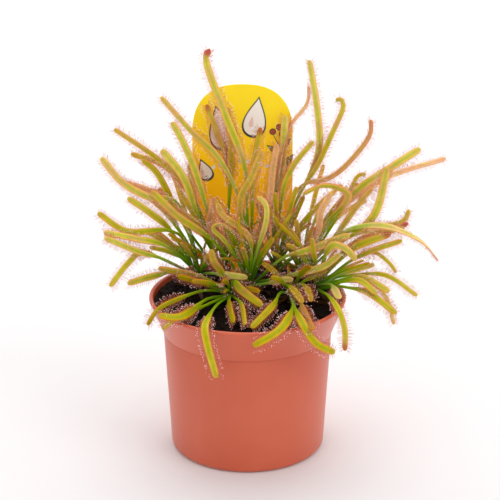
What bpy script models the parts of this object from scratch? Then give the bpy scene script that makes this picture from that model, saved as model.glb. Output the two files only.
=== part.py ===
"""Potted sundew: eight narrow-leaved sundews grown together in a 12 cm nursery pot, with a plant label.

Sizes are in millimetres, and MM turns them to metres where a mesh is made. X runs to the right, Y to
the back and Z up. The origin is the middle of the flat underside that the pot stands on.
"""
import math
import random
from typing import NamedTuple

import bmesh
import bpy
import numpy as np
from mathutils import Vector

MM = 0.001
GAP = 0.3            # kept between pieces that touch
MERGE = 0.0001       # metres

# Pot: thin moulded wall, a rolled lip, a flared band under it, and a tapered body
POT_HEIGHT = 98.0
RIM_RADIUS = 60.0
LIP_WIDTH = 2.6
BAND_BOTTOM_Z = 76.7
BAND_BOTTOM_RADIUS = 52.0
BAND_STEP = 0.5
FOOT_RADIUS = 45.8
FOOT_ROUND = 3.5
FOOT_FLARE = 1.6     # how far the wall above the foot's round corner stands outside the foot
FLOOR_CORNER_Z = 6.0 # where the inside of the wall meets the sloping corner of the floor
LIP_DEPTH = 3.0      # height of the thickened lip
WALL = 1.2
POT_SIDES = 40
DRAIN_HOLES = 8
DRAIN_RING_RADIUS = 33.0
DRAIN_RADIUS = 4.5

# Soil
SOIL_TOP = 92.5
SOIL_SIDES = 36
SOIL_RINGS = 7
CRUMB_HEIGHT = 1.1
SOIL_DISH = 1.2      # how far the soil climbs from the middle to the wall

# Label: arch-topped card on a stake, at the back of the pot
LABEL_X = -3.1
LABEL_Y = 45.0
LABEL_WIDTH = 62.0
LABEL_TOP = 217.8
LABEL_ARCH = 33.0    # height of the arched top
LABEL_SHOULDER_Z = 122.0
LABEL_NECK_Z = 106.0
LABEL_THICKNESS = 0.8
STAKE_WIDTH = 15.0
STAKE_BOTTOM = 50.0
STAKE_POINT = 12.0
ARCH_STEPS = 18

# Leaves
STEM_RADIUS = 3.4
STEM_BOTTOM = 76.0
STEM_SIDES = 8
ROOT_REACH = 1.3     # how far from the stem's axis a leaf starts
ROOT_TURN = 137.5    # degrees from each leaf to the next, round the stem
ROOT_STEP = 0.31     # and how much lower the next one starts
PETIOLE_WIDTH = 2.2
PETIOLE_THICKNESS = 1.6
BLADE_THICKNESS = 0.8
BLADE_START = 0.46   # share of the leaf's length that is petiole
BLADE_FLARE = 0.12   # share over which the petiole widens into the blade
TIP_SHARE = 0.55     # width of the blunt tip, as a share of the blade's
TENTACLE_LENGTH = 3.6
TENTACLE_WIDTH = 0.9
TENTACLE_LEAN = 1.2  # how far a tentacle leans to the blade's inner face
TENTACLE_ROOM = 12.5 # tentacles stand only where other plants, label, soil and pot are further off
RING_SPACING = 15.0
RING_TURN = 0.5      # radians of bend for each ring
PATH_POINTS = 31
VIEWER = (0.0, -0.94, 0.34)

# Clearing the leaves of different plants from each other
CLEAR_ROUNDS = 70
CLEARANCE = 0.9
EASE = 0.25          # share by which each round evens out a leaf's bends
SIDEWAYS = 0.45      # share of a push that acts across the pot, where all of it acts in depth
RIM_CLEARANCE = 4.0
SOIL_CLEARANCE = 4.4
LIFT_STEP = 0.19     # how much higher than the last each of seven leaves passes over soil and rim


class Leaf(NamedTuple):
    """One leaf: its blade's width, the points it passes through, and whether its back faces the viewer."""
    width: float
    route: tuple
    back_to_viewer: bool = True


class Plant(NamedTuple):
    """One plant: its crown, its leaves, and the arcs in degrees where a rule adds its hidden leaves."""
    crown: tuple
    leaves: tuple
    arcs: tuple = ()


class Arc(NamedTuple):
    """Leaves that a rule sets round a crown: compass sweep, count, lengths, and rise at root and tip."""
    start: float
    sweep: float
    count: int
    length: tuple
    rise: tuple
    droop: tuple


PLANTS = {
    "centre": Plant((1, 18, 98), (
        Leaf(3.6, ((-2, 26, 140), (-16, 30, 173), (-35, 28, 194), (-52, 24, 216))),
        Leaf(4.8, ((0, 18, 143), (-2, 17, 175), (-13, 14, 207), (-24, 10, 238), (-23, 10, 245))),
        Leaf(5.0, ((-5, 12, 149), (2, 10, 169), (9, 8, 187)), False),
        Leaf(3.6, ((3, 25, 147), (4, 28, 173), (8, 30, 195))),
        Leaf(3.6, ((6, 8, 124), (11, 4, 143), (11, 2, 155), (6, 0, 161)), False),
        Leaf(5.0, ((23, 8, 120), (41, 0, 127), (61, -10, 140))),
        Leaf(4.6, ((26, 8, 107), (44, 2, 115), (56, -2, 125))),
        Leaf(4.0, ((14, 6, 103), (28, -6, 110))),
        Leaf(2.8, ((-12, 8, 127), (-21, 4, 139), (-16, 2, 143), (-8, 0, 139)), False),
        Leaf(4.6, ((-20, 10, 128), (-41, 2, 147), (-57, -4, 166))),
        Leaf(4.4, ((13, 26, 146), (15, 30, 164), (18, 32, 184)), False),
        Leaf(4.2, ((2, 4, 130), (-6, 0, 142), (-15, -4, 151), (-18, -6, 159)), False),
    ), (
        Arc(20, 330, 6, (40, 62), (60, 80), (35, 70)),
    )),
    "front_left": Plant((-10, 2, 98), (
        Leaf(4.6, ((-18, -24, 101), (-23, -52, 102), (-23, -64, 94), (-18, -65, 72))),
        Leaf(4.0, ((-11, -20, 101), (-8, -44, 97))),
        Leaf(3.4, ((-4, -22, 101), (-1, -48, 97))),
        Leaf(5.2, ((-5, -2, 105), (0, -12, 103), (9, -24, 101)), False),
        Leaf(4.0, ((-26, -4, 106), (-42, -12, 115))),
        Leaf(4.0, ((-26, 6, 106), (-54, -2, 116))),
        Leaf(4.6, ((-14, -2, 111), (-20, -8, 122), (-22, -10, 131))),
        Leaf(5.2, ((-21, -12, 101), (-33, -24, 102), (-43, -36, 101), (-51, -40, 102))),
        Leaf(3.8, ((-26, -22, 101), (-38, -44, 101), (-50, -48, 96))),
        Leaf(3.0, ((-28, -10, 104), (-49, -30, 102), (-59, -41, 95))),
    ), (
        Arc(190, 150, 3, (26, 36), (30, 50), (0, 20)),
    )),
    "left": Plant((-30, 29, 100), (
        Leaf(4.2, ((-39, 24, 124), (-50, 18, 133), (-73, 10, 135), (-90, 2, 150))),
        Leaf(4.8, ((-49, 15, 123), (-68, 3, 133), (-86, -8, 141))),
        Leaf(3.8, ((-51, 12, 116), (-66, 2, 125), (-85, -14, 140))),
        Leaf(3.8, ((-48, 22, 110), (-64, 14, 120), (-73, 8, 115), (-84, 2, 102))),
        Leaf(4.4, ((-45, 24, 103), (-60, 18, 102), (-74, 12, 100))),
        Leaf(4.4, ((-47, 28, 128), (-60, 22, 143), (-73, 18, 154))),
        Leaf(4.6, ((-42, 34, 143), (-61, 26, 152), (-76, 20, 163), (-88, 14, 181))),
        Leaf(3.8, ((-49, 38, 143), (-60, 34, 153), (-77, 30, 160))),
        Leaf(4.4, ((-20, 14, 106), (0, 2, 108))),
    ), (
        Arc(105, 60, 4, (62, 84), (55, 75), (-5, 30)),
        Arc(150, 60, 3, (38, 55), (45, 70), (5, 40)),
    )),
    "back": Plant((-16, 34, 100), (
        Leaf(3.4, ((-33, 39, 145), (-51, 37, 169), (-81, 30, 194))),
        Leaf(4.0, ((-34, 40, 144), (-50, 43, 165), (-72, 40, 175))),
        Leaf(4.2, ((-44, 37, 136), (-50, 35, 152), (-56, 31, 166), (-64, 25, 176))),
        Leaf(5.2, ((-31, 30, 138), (-39, 26, 164), (-52, 20, 184))),
        Leaf(4.8, ((-22, 30, 129), (-31, 26, 166), (-38, 20, 187), (-45, 15, 203))),
        Leaf(4.8, ((-11, 37, 152), (-10, 38, 179), (-13, 36, 206)), False),
        Leaf(3.6, ((-11, 39, 160), (-19, 40, 189), (-25, 38, 207))),
        Leaf(4.2, ((-23, 22, 133), (-22, 16, 145), (-20, 12, 156)), False),
        Leaf(3.8, ((-31, 39, 133), (-34, 39, 152), (-36, 38, 169))),
    ), (
        Arc(170, 150, 4, (45, 66), (62, 80), (30, 65)),
        Arc(150, 26, 2, (34, 46), (30, 42), (0, 20)),
    )),
    "back_right": Plant((18, 36, 100), (
        Leaf(4.4, ((26, 40, 133), (37, 40, 158), (44, 38, 180), (42, 36, 207), (37, 34, 236))),
        Leaf(3.2, ((18, 39, 149), (24, 40, 188), (36, 41, 206), (37, 41, 218))),
        Leaf(3.8, ((30, 36, 145), (43, 36, 169), (52, 34, 191), (58, 34, 206), (56, 34, 212), (53, 34, 211))),
        Leaf(3.4, ((30, 33, 152), (49, 30, 162), (60, 26, 172), (73, 22, 191), (74, 20, 203))),
        Leaf(3.8, ((21, 33, 148), (27, 32, 168), (40, 28, 187))),
        Leaf(5.2, ((16, 38, 140), (21, 40, 167), (23, 39, 200))),
    ), (
        Arc(200, 200, 5, (45, 72), (65, 82), (40, 70)),
        Arc(4, 22, 2, (30, 42), (36, 48), (0, 20)),
    )),
    "right_back": Plant((33, 29, 100), (
        Leaf(5.0, ((50, 30, 132), (66, 26, 155), (86, 20, 172), (104, 16, 186))),
        Leaf(3.2, ((48, 40, 130), (64, 42, 143), (88, 44, 159), (123, 46, 170))),
        Leaf(2.8, ((56, 36, 136), (64, 36, 154), (68, 36, 162), (73, 36, 163))),
        Leaf(4.2, ((54, 24, 127), (66, 22, 146), (76, 20, 160)), False),
        Leaf(5.2, ((55, 16, 130), (69, 8, 138), (78, 4, 152), (83, 2, 179))),
        Leaf(4.8, ((49, 20, 137), (58, 12, 151), (60, 8, 161), (46, 6, 166), (33, 4, 161))),
        Leaf(4.4, ((43, 12, 135), (44, 8, 148), (50, 6, 161)), False),
        Leaf(3.6, ((60, 28, 127), (81, 24, 133), (95, 22, 137), (99, 22, 145))),
        Leaf(3.2, ((64, 22, 128), (84, 18, 132), (98, 16, 138))),
    ), (
        Arc(25, 55, 4, (60, 84), (55, 75), (-5, 30)),
        Arc(180, 120, 4, (38, 60), (60, 78), (30, 60)),
    )),
    "right": Plant((43, 11, 100), (
        Leaf(4.2, ((50, 8, 127), (62, 4, 139), (82, -2, 143), (103, -8, 136), (114, -10, 124))),
        Leaf(4.8, ((59, 6, 121), (67, 2, 129), (86, -4, 139))),
        Leaf(4.0, ((60, 16, 111), (74, 12, 121), (94, 8, 130))),
        Leaf(4.8, ((49, -6, 131), (58, -12, 133), (65, -16, 126))),
        Leaf(4.0, ((60, 18, 104), (78, 14, 112))),
        Leaf(3.2, ((63, 24, 110), (77, 22, 117), (87, 20, 111), (92, 20, 104))),
        Leaf(4.4, ((60, 8, 105), (71, 2, 108), (86, -6, 102))),
        Leaf(4.2, ((61, 2, 106), (69, -4, 108), (78, -10, 102))),
        Leaf(3.8, ((63, 18, 102), (85, 16, 104), (105, 14, 91))),
        Leaf(4.2, ((59, 0, 101), (73, -6, 101), (90, -14, 91))),
        Leaf(3.2, ((63, 6, 103), (78, 4, 102), (86, 2, 92), (90, 2, 77))),
        Leaf(3.6, ((49, -22, 105), (54, -42, 104), (57, -49, 95), (57, -51, 83))),
        Leaf(5.0, ((51, 0, 104), (55, -20, 101))),
    ), (
        Arc(-5, 50, 3, (50, 66), (40, 60), (-10, 20)),
        Arc(150, 120, 3, (32, 48), (60, 78), (30, 60)),
    )),
    "front_right": Plant((27, 3, 98), (
        Leaf(4.8, ((27, -22, 101), (31, -52, 102), (39, -62, 93), (51, -56, 84))),
        Leaf(5.2, ((28, -18, 101), (24, -46, 103), (14, -65, 100), (3, -69, 94))),
        Leaf(4.4, ((20, -8, 102), (15, -28, 102), (2, -50, 97))),
        Leaf(4.4, ((24, -4, 105), (28, -14, 106), (33, -26, 103)), False),
        Leaf(4.0, ((32, -2, 105), (36, -12, 106), (38, -24, 103)), False),
        Leaf(4.0, ((31, -18, 101), (34, -44, 103), (38, -62, 101))),
    ), (
        Arc(120, 280, 4, (24, 38), (40, 66), (10, 40)),
    )),
}


def collection(name):
    """Make a collection in the scene."""
    made = bpy.data.collections.new(name)
    bpy.context.scene.collection.children.link(made)
    return made


def clear_scene():
    """Remove the objects that a new file holds."""
    for old in list(bpy.data.objects):
        bpy.data.objects.remove(old, do_unlink=True)


def material(name, colour, roughness):
    """Make a plain material for one piece."""
    made = bpy.data.materials.new(name)
    made.use_nodes = True
    shader = made.node_tree.nodes["Principled BSDF"]
    shader.inputs["Base Color"].default_value = (*colour, 1.0)
    shader.inputs["Roughness"].default_value = roughness
    shader.inputs["Metallic"].default_value = 0.0
    return made


def mesh_object(name, mesh, group):
    """Put a mesh in the scene as an object of a collection."""
    made = bpy.data.objects.new(name, mesh)
    group.objects.link(made)
    return made


def hide_cutter(cutter):
    """Show a cutter as wire and keep it out of a render."""
    cutter.hide_render = True
    cutter.display_type = "WIRE"


def smooth(mesh, angle=35.0):
    """Shade a mesh smooth, with its sharp edges kept."""
    mesh.shade_smooth()
    mesh.set_sharp_from_angle(angle=math.radians(angle))


def screwed(name, profile, sides, group):
    """Turn a profile of (radius, height) points about Z, and return the finished mesh object."""
    mesh = bpy.data.meshes.new(name)
    points = [(radius * MM, 0.0, height * MM) for radius, height in profile]
    mesh.from_pydata(points, [(i, i + 1) for i in range(len(points) - 1)], [])
    turned = mesh_object(name, mesh, group)
    screw = turned.modifiers.new("turn", "SCREW")
    screw.steps = sides
    screw.render_steps = sides
    screw.use_merge_vertices = True
    screw.merge_threshold = MERGE
    screw.use_smooth_shade = True
    return turned


def apply_modifiers(target):
    """Replace an object's mesh by the one its modifiers make."""
    graph = bpy.context.evaluated_depsgraph_get()
    graph.update()
    finished = bpy.data.meshes.new_from_object(target.evaluated_get(graph))
    target.modifiers.clear()
    target.data = finished


def rod(name, radius, low, high, place, sides, group):
    """Add an upright round bar between two heights."""
    mesh = bpy.data.meshes.new(name)
    shape = bmesh.new()
    bmesh.ops.create_cone(shape, cap_ends=True, segments=sides, radius1=radius * MM, radius2=radius * MM,
                          depth=(high - low) * MM)
    shape.to_mesh(mesh)
    shape.free()
    made = mesh_object(name, mesh, group)
    made.location = Vector((place[0], place[1], (low + high) / 2)) * MM
    return made


def outer_radius(height):
    """Give the pot's outer radius at a height."""
    if height > BAND_BOTTOM_Z:
        share = (height - BAND_BOTTOM_Z) / (POT_HEIGHT - BAND_BOTTOM_Z)
        return BAND_BOTTOM_RADIUS + share * (RIM_RADIUS - BAND_BOTTOM_RADIUS)
    top = BAND_BOTTOM_RADIUS - BAND_STEP
    low = FOOT_RADIUS + FOOT_FLARE
    return low + (top - low) * height / BAND_BOTTOM_Z


def arc(centre, radius, start, end, steps):
    """Give the points of a round corner in a profile, angles in degrees."""
    turns = [math.radians(start + (end - start) * i / steps) for i in range(steps + 1)]
    return [(centre[0] + radius * math.cos(a), centre[1] + radius * math.sin(a)) for a in turns]


def pot(group, cutters):
    """Make the pot: a turned wall with a rolled lip and a ring of drain holes in the flat base."""
    lip = LIP_WIDTH / 2
    band_low = BAND_BOTTOM_Z
    inside = [(0.0, WALL), (FOOT_RADIUS - WALL, WALL), (outer_radius(FLOOR_CORNER_Z) - WALL, FLOOR_CORNER_Z),
              (outer_radius(band_low) - BAND_STEP - WALL, band_low - 1.5),
              (outer_radius(band_low + 1.0) - WALL, band_low + 1.0),
              (outer_radius(POT_HEIGHT - LIP_DEPTH) - WALL, POT_HEIGHT - LIP_DEPTH)]
    rolled = arc((RIM_RADIUS - lip, POT_HEIGHT - lip), lip, 180, -20, 5)
    outside = [(outer_radius(POT_HEIGHT - LIP_DEPTH), POT_HEIGHT - LIP_DEPTH), (BAND_BOTTOM_RADIUS, band_low),
               (outer_radius(band_low) - BAND_STEP, band_low - 0.4)]
    foot = arc((FOOT_RADIUS + FOOT_FLARE - FOOT_ROUND, FOOT_ROUND), FOOT_ROUND, 0, -90, 3)
    body = screwed("pot", inside + rolled + outside + foot + [(0.0, 0.0)], POT_SIDES, group)
    for i in range(DRAIN_HOLES):
        turn = 2 * math.pi * (i + 0.5) / DRAIN_HOLES
        place = (DRAIN_RING_RADIUS * math.cos(turn), DRAIN_RING_RADIUS * math.sin(turn))
        hide_cutter(rod(f"drain_{i + 1}", DRAIN_RADIUS, -2.0, WALL + 2.0, place, 12, cutters))
    cut = body.modifiers.new("drain_holes", "BOOLEAN")
    cut.operation = "DIFFERENCE"
    cut.operand_type = "COLLECTION"
    cut.collection = cutters
    body.data.materials.append(material("pot_plastic", (0.58, 0.145, 0.075), 0.42))


def crumb(x, y):
    """Give the height of the soil's crumbs at a place, by a formula of mixed waves."""
    waves = math.sin(0.71 * x + 1.3 * math.sin(0.37 * y)) + math.sin(0.83 * y + 1.7 * math.sin(0.31 * x))
    fine = math.sin(1.9 * x - 0.6 * y) * math.sin(1.3 * y + 0.8 * x)
    return CRUMB_HEIGHT * (0.35 * waves + 0.4 * fine)


def soil(group, cutters):
    """Make the soil: it fills the pot, with a crumbly top, stem holes and a slot for the label."""
    wall_top = outer_radius(SOIL_TOP) - WALL - GAP
    top = [(wall_top * i / SOIL_RINGS, SOIL_TOP) for i in range(SOIL_RINGS + 1)]
    side = [(outer_radius(BAND_BOTTOM_Z + 1.0) - WALL - GAP, BAND_BOTTOM_Z + 1.0),
            (outer_radius(BAND_BOTTOM_Z) - BAND_STEP - WALL - GAP, BAND_BOTTOM_Z - 1.6),
            (outer_radius(FLOOR_CORNER_Z) - WALL - GAP, FLOOR_CORNER_Z),
            (FOOT_RADIUS - WALL - 2 * GAP, WALL + GAP), (0.0, WALL + GAP)]
    body = screwed("soil", top + side, SOIL_SIDES, group)
    apply_modifiers(body)
    for vertex in body.data.vertices:
        x, y, z = vertex.co / MM
        reach = math.hypot(x, y) / wall_top
        if z > SOIL_TOP - 0.5:
            vertex.co.z += (crumb(x, y) + SOIL_DISH * reach ** 2 - SOIL_DISH / 2) * MM
    for name, plant in PLANTS.items():
        hole = rod(f"hole_{name}", STEM_RADIUS + GAP, STEM_BOTTOM - GAP, POT_HEIGHT + 12.0, plant.crown,
                   STEM_SIDES, cutters)
        hide_cutter(hole)
    hide_cutter(label_plate("label_slot", GAP, cutters))
    cut = body.modifiers.new("holes", "BOOLEAN")
    cut.operation = "DIFFERENCE"
    cut.operand_type = "COLLECTION"
    cut.collection = cutters
    body.data.materials.append(material("peat", (0.012, 0.008, 0.005), 0.95))


def label_outline(grow):
    """Give the label's outline as (x, z) points: arched top, straight sides, shoulders and a stake."""
    half = LABEL_WIDTH / 2 + grow
    stake = STAKE_WIDTH / 2 + grow
    base = LABEL_TOP - LABEL_ARCH
    points = []
    for i in range(ARCH_STEPS + 1):
        turn = math.pi * i / ARCH_STEPS
        points.append((half * math.copysign(abs(math.cos(turn)) ** 0.8, math.cos(turn)),
                       base + (LABEL_ARCH + grow) * math.sin(turn) ** 0.8))
    points += [(-half, LABEL_SHOULDER_Z), (-stake, LABEL_NECK_Z), (-stake, STAKE_BOTTOM + STAKE_POINT),
               (0.0, STAKE_BOTTOM - grow), (stake, STAKE_BOTTOM + STAKE_POINT), (stake, LABEL_NECK_Z),
               (half, LABEL_SHOULDER_Z)]
    return points


def label_plate(name, grow, group):
    """Cut the label from a flat outline, grown on all sides by a clearance where it is a cutter."""
    outline = bpy.data.curves.new(name + "_outline", "CURVE")
    outline.dimensions = "2D"
    outline.fill_mode = "BOTH"
    outline.extrude = (LABEL_THICKNESS / 2 + grow) * MM
    points = label_outline(grow)
    spline = outline.splines.new("POLY")
    spline.points.add(len(points) - 1)
    for point, (x, z) in zip(spline.points, points):
        point.co = (x * MM, z * MM, 0.0, 1.0)
    spline.use_cyclic_u = True
    flat = bpy.data.objects.new(name + "_outline", outline)
    group.objects.link(flat)
    graph = bpy.context.evaluated_depsgraph_get()
    graph.update()
    mesh = bpy.data.meshes.new_from_object(flat.evaluated_get(graph))
    bpy.data.objects.remove(flat, do_unlink=True)
    shape = bmesh.new()
    shape.from_mesh(mesh)
    bmesh.ops.remove_doubles(shape, verts=shape.verts, dist=MERGE)
    shape.to_mesh(mesh)
    shape.free()
    plate = mesh_object(name, mesh, group)
    plate.rotation_euler = (math.pi / 2, 0.0, 0.0)
    plate.location = (LABEL_X * MM, LABEL_Y * MM, 0.0)
    return plate


def label(group):
    """Make the label that stands at the back of the pot."""
    plate = label_plate("label", 0.0, group)
    plate.data.materials.append(material("label_card", (0.95, 0.6, 0.02), 0.4))


def arc_leaves(plant, draw):
    """Set a plant's hidden leaves round its crown, each a smooth arch."""
    leaves = []
    for rule in plant.arcs:
        for i in range(rule.count):
            compass = math.radians(rule.start + rule.sweep * (i + draw.uniform(0.3, 0.7)) / rule.count)
            length = draw.uniform(*rule.length)
            rise = math.radians(draw.uniform(*rule.rise))
            droop = math.radians(draw.uniform(*rule.droop))
            place = Vector(plant.crown)
            route = []
            for step in range(4):
                slope = rise + (droop - rise) * (step + 0.5) / 4
                ahead = Vector((math.cos(compass) * math.cos(slope), math.sin(compass) * math.cos(slope),
                                math.sin(slope)))
                place = place + ahead * (length / 4)
                route.append(tuple(place))
            leaves.append(Leaf(draw.uniform(3.6, 4.8), tuple(route), math.sin(compass) < 0.3))
    return leaves


def spline(points, count):
    """Pass a smooth curve through points and give evenly spaced places along it."""
    knots = np.array(points, float)
    ends = np.vstack([2 * knots[0] - knots[1], knots, 2 * knots[-1] - knots[-2]])
    fine = []
    for a, b, c, d in zip(ends, ends[1:], ends[2:], ends[3:]):
        for u in np.linspace(0.0, 1.0, 16, endpoint=False):
            fine.append(0.5 * (2 * b + (c - a) * u + (2 * a - 5 * b + 4 * c - d) * u ** 2
                               + (3 * b - a - 3 * c + d) * u ** 3))
    fine.append(knots[-1])
    return resample(np.array(fine), count)


def resample(path, count):
    """Give evenly spaced places along a path."""
    run = np.concatenate([[0.0], np.cumsum(np.linalg.norm(np.diff(path, axis=0), axis=1))])
    wanted = np.linspace(0.0, run[-1], count)
    return np.stack([np.interp(wanted, run, path[:, k]) for k in range(3)], axis=1)


def blade_width(share, width):
    """Give a leaf's width at a share of its length, from petiole to blunt tip."""
    if share < BLADE_START:
        return PETIOLE_WIDTH
    flare = min((share - BLADE_START) / BLADE_FLARE, 1.0)
    taper = 1.0 - 0.12 * max(share - 0.6, 0.0) / 0.4
    tip = 1.0 if share < 0.985 else TIP_SHARE
    return (PETIOLE_WIDTH + (width - PETIOLE_WIDTH) * flare) * taper * tip


def pot_clearance(points, lift):
    """Give the push that keeps points off the soil, over the rim and outside the pot's wall."""
    push = np.zeros_like(points)
    reach = np.hypot(points[:, 0], points[:, 1])
    outward = points[:, :2] / np.maximum(reach, 1.0)[:, None]
    over_soil = reach < RIM_RADIUS - 4.0
    over_rim = (reach >= RIM_RADIUS - 4.0) & (reach < RIM_RADIUS + 1.0)
    rise = np.where(over_soil, SOIL_TOP + SOIL_CLEARANCE, POT_HEIGHT + RIM_CLEARANCE) + lift - points[:, 2]
    push[:, 2] = np.where(over_soil | over_rim, np.maximum(rise, 0.0), 0.0)
    outside = (reach >= RIM_RADIUS + 1.0) & (points[:, 2] < POT_HEIGHT + RIM_CLEARANCE)
    short = np.where(outside, np.maximum(RIM_RADIUS + RIM_CLEARANCE - reach, 0.0), 0.0)
    push[:, :2] += outward * short[:, None]
    return push


def label_clearance(points):
    """Give the push that keeps points in front of the label, or behind it where they are well behind."""
    push = np.zeros_like(points)
    half = np.where(points[:, 2] > LABEL_NECK_Z - 2.0, LABEL_WIDTH / 2 + 3.0, STAKE_WIDTH / 2 + 3.0)
    near = (np.abs(points[:, 0] - LABEL_X) < half) & (points[:, 2] < LABEL_TOP + 3.0)
    front = near & (points[:, 1] < LABEL_Y + 4.0)
    push[front, 1] = np.minimum(LABEL_Y - 3.4 - points[front, 1], 0.0)
    behind = near & ~front
    push[behind, 1] = np.maximum(LABEL_Y + 3.4 - points[behind, 1], 0.0)
    return push


def clear_paths(paths, owners, half_widths, crowns):
    """Bend the leaves of different plants apart, and off the other pieces, by repeated small pushes."""
    count, steps = paths.shape[:2]
    posts = np.array([(x, y, z) for x, y, top in crowns for z in np.arange(SOIL_TOP, top + 3.0, 3.0)])
    post_owner = np.array([k for k, (x, y, top) in enumerate(crowns)
                           for z in np.arange(SOIL_TOP, top + 3.0, 3.0)])
    owner = np.concatenate([np.repeat(owners, steps), post_owner])
    size = np.concatenate([half_widths.ravel(), np.full(len(posts), STEM_RADIUS + 0.6)])
    need = size[:, None] + size[None] + CLEARANCE
    near = np.where(owner[:, None] != owner[None], need ** 2, 0.0)
    hold = np.clip(np.linspace(0.0, 1.0, steps) / 0.12, 0.0, 1.0)
    weights = np.tile(hold, count)
    lift = np.repeat(LIFT_STEP * (np.arange(count) % 7), steps)
    shift = np.zeros_like(paths)
    for _ in range(CLEAR_ROUNDS):
        points = np.vstack([(paths + shift).reshape(-1, 3), posts])
        square = (points ** 2).sum(axis=1)
        apart2 = square[:, None] + square[None] - 2 * points @ points.T
        first, second = np.nonzero(apart2 < near)
        apart = points[first] - points[second]
        distance = np.maximum(np.linalg.norm(apart, axis=1), 0.01)
        aim = apart * (SIDEWAYS, 1.0, SIDEWAYS)
        aim /= np.maximum(np.linalg.norm(aim, axis=1), 0.01)[:, None]
        short = need[first, second] - distance
        push = np.zeros_like(points)
        np.add.at(push, first, aim * (0.35 * short)[:, None])
        moved = points[:count * steps] + push[:count * steps] * weights[:, None]
        moved += (pot_clearance(moved, lift) + label_clearance(moved)) * weights[:, None]
        shift = moved.reshape(count, steps, 3) - paths
        shift[:, 1:-1] += EASE * (shift[:, :-2] + shift[:, 2:] - 2 * shift[:, 1:-1]) * hold[1:-1, None]
    return paths + shift


def root_place(crown, number):
    """Give the place where a leaf starts inside its stem, in the spiral that the leaves grow in."""
    turn = math.radians(ROOT_TURN) * number
    return (crown[0] + ROOT_REACH * math.cos(turn), crown[1] + ROOT_REACH * math.sin(turn),
            crown[2] - ROOT_STEP * (number % 13))


def leaf_paths():
    """Give each plant's leaves with their cleared paths."""
    draw = random.Random(11)
    names = list(PLANTS)
    leaves = []
    owners = []
    for number, name in enumerate(names):
        plant = PLANTS[name]
        for leaf in list(plant.leaves) + arc_leaves(plant, draw):
            leaves.append(leaf)
            owners.append(number)
    crowns = [PLANTS[name].crown for name in names]
    paths = np.array([spline([root_place(crowns[k], number)] + list(leaf.route), PATH_POINTS)
                      for number, (k, leaf) in enumerate(zip(owners, leaves))])
    shares = np.linspace(0.0, 1.0, PATH_POINTS)
    halves = np.array([[blade_width(s, leaf.width) / 2 for s in shares] for leaf in leaves])
    cleared = clear_paths(paths, np.array(owners), halves, crowns)
    return {name: [(leaf, path) for leaf, path, k in zip(leaves, cleared, owners) if names[k] == name]
            for name in names}


def square_to(direction, axis):
    """Turn a direction square to an axis."""
    flat = direction - axis * (direction @ axis)
    return flat / np.linalg.norm(flat)


def at_share(values, share):
    """Read a row of vectors along a leaf at a share of its length."""
    steps = np.linspace(0.0, 1.0, len(values))
    return np.array([np.interp(share, steps, values[:, k]) for k in range(3)])


def leaf_frame(leaf, path):
    """Give the direction ahead and the one that the back faces, all along a leaf, without twist."""
    ahead = np.gradient(path, axis=0)
    ahead /= np.linalg.norm(ahead, axis=1)[:, None]
    facing = np.array(VIEWER) if leaf.back_to_viewer else -np.array(VIEWER)
    middle = int(len(path) * 0.7)
    backs = np.zeros_like(path)
    backs[middle] = square_to(facing, ahead[middle])
    for i in range(middle + 1, len(path)):
        backs[i] = square_to(backs[i - 1], ahead[i])
    for i in range(middle - 1, -1, -1):
        backs[i] = square_to(backs[i + 1], ahead[i])
    return ahead, backs


def has_room(place, others):
    """Tell whether tentacles can stand out from a leaf here without touching another piece."""
    reach = math.hypot(place[0], place[1])
    low = place[2] < POT_HEIGHT + TENTACLE_ROOM / 2 and reach < RIM_RADIUS + TENTACLE_ROOM / 2
    by_label = abs(place[1] - LABEL_Y) < TENTACLE_ROOM / 2 and abs(place[0] - LABEL_X) < LABEL_WIDTH / 2 + 6.0
    return not low and not by_label and np.linalg.norm(others - place, axis=1).min() > TENTACLE_ROOM


def leaf_sections(path, others):
    """Choose where a leaf's cross-sections go, closer where it bends, in pairs where tentacles stand."""
    ahead = np.diff(path, axis=0)
    run = np.linalg.norm(ahead, axis=1)
    ahead /= run[:, None]
    bend = np.arccos(np.clip((ahead[1:] * ahead[:-1]).sum(axis=1), -1.0, 1.0))
    cost = np.concatenate([[0.0], np.cumsum(run / RING_SPACING + np.append(bend, 0.0) / RING_TURN)])
    wanted = np.linspace(0.0, cost[-1], max(5, round(cost[-1])) + 1)
    half_pair = TENTACLE_WIDTH / 2 / run.sum()
    sections = []
    for share in np.interp(wanted, cost, np.linspace(0.0, 1.0, len(path))):
        on_blade = BLADE_START + BLADE_FLARE < share < 0.97
        if on_blade and has_room(at_share(path, share), others):
            sections += [(share - half_pair, True), (share + half_pair, False)]
        else:
            sections.append((share, False))
    return sections


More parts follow.
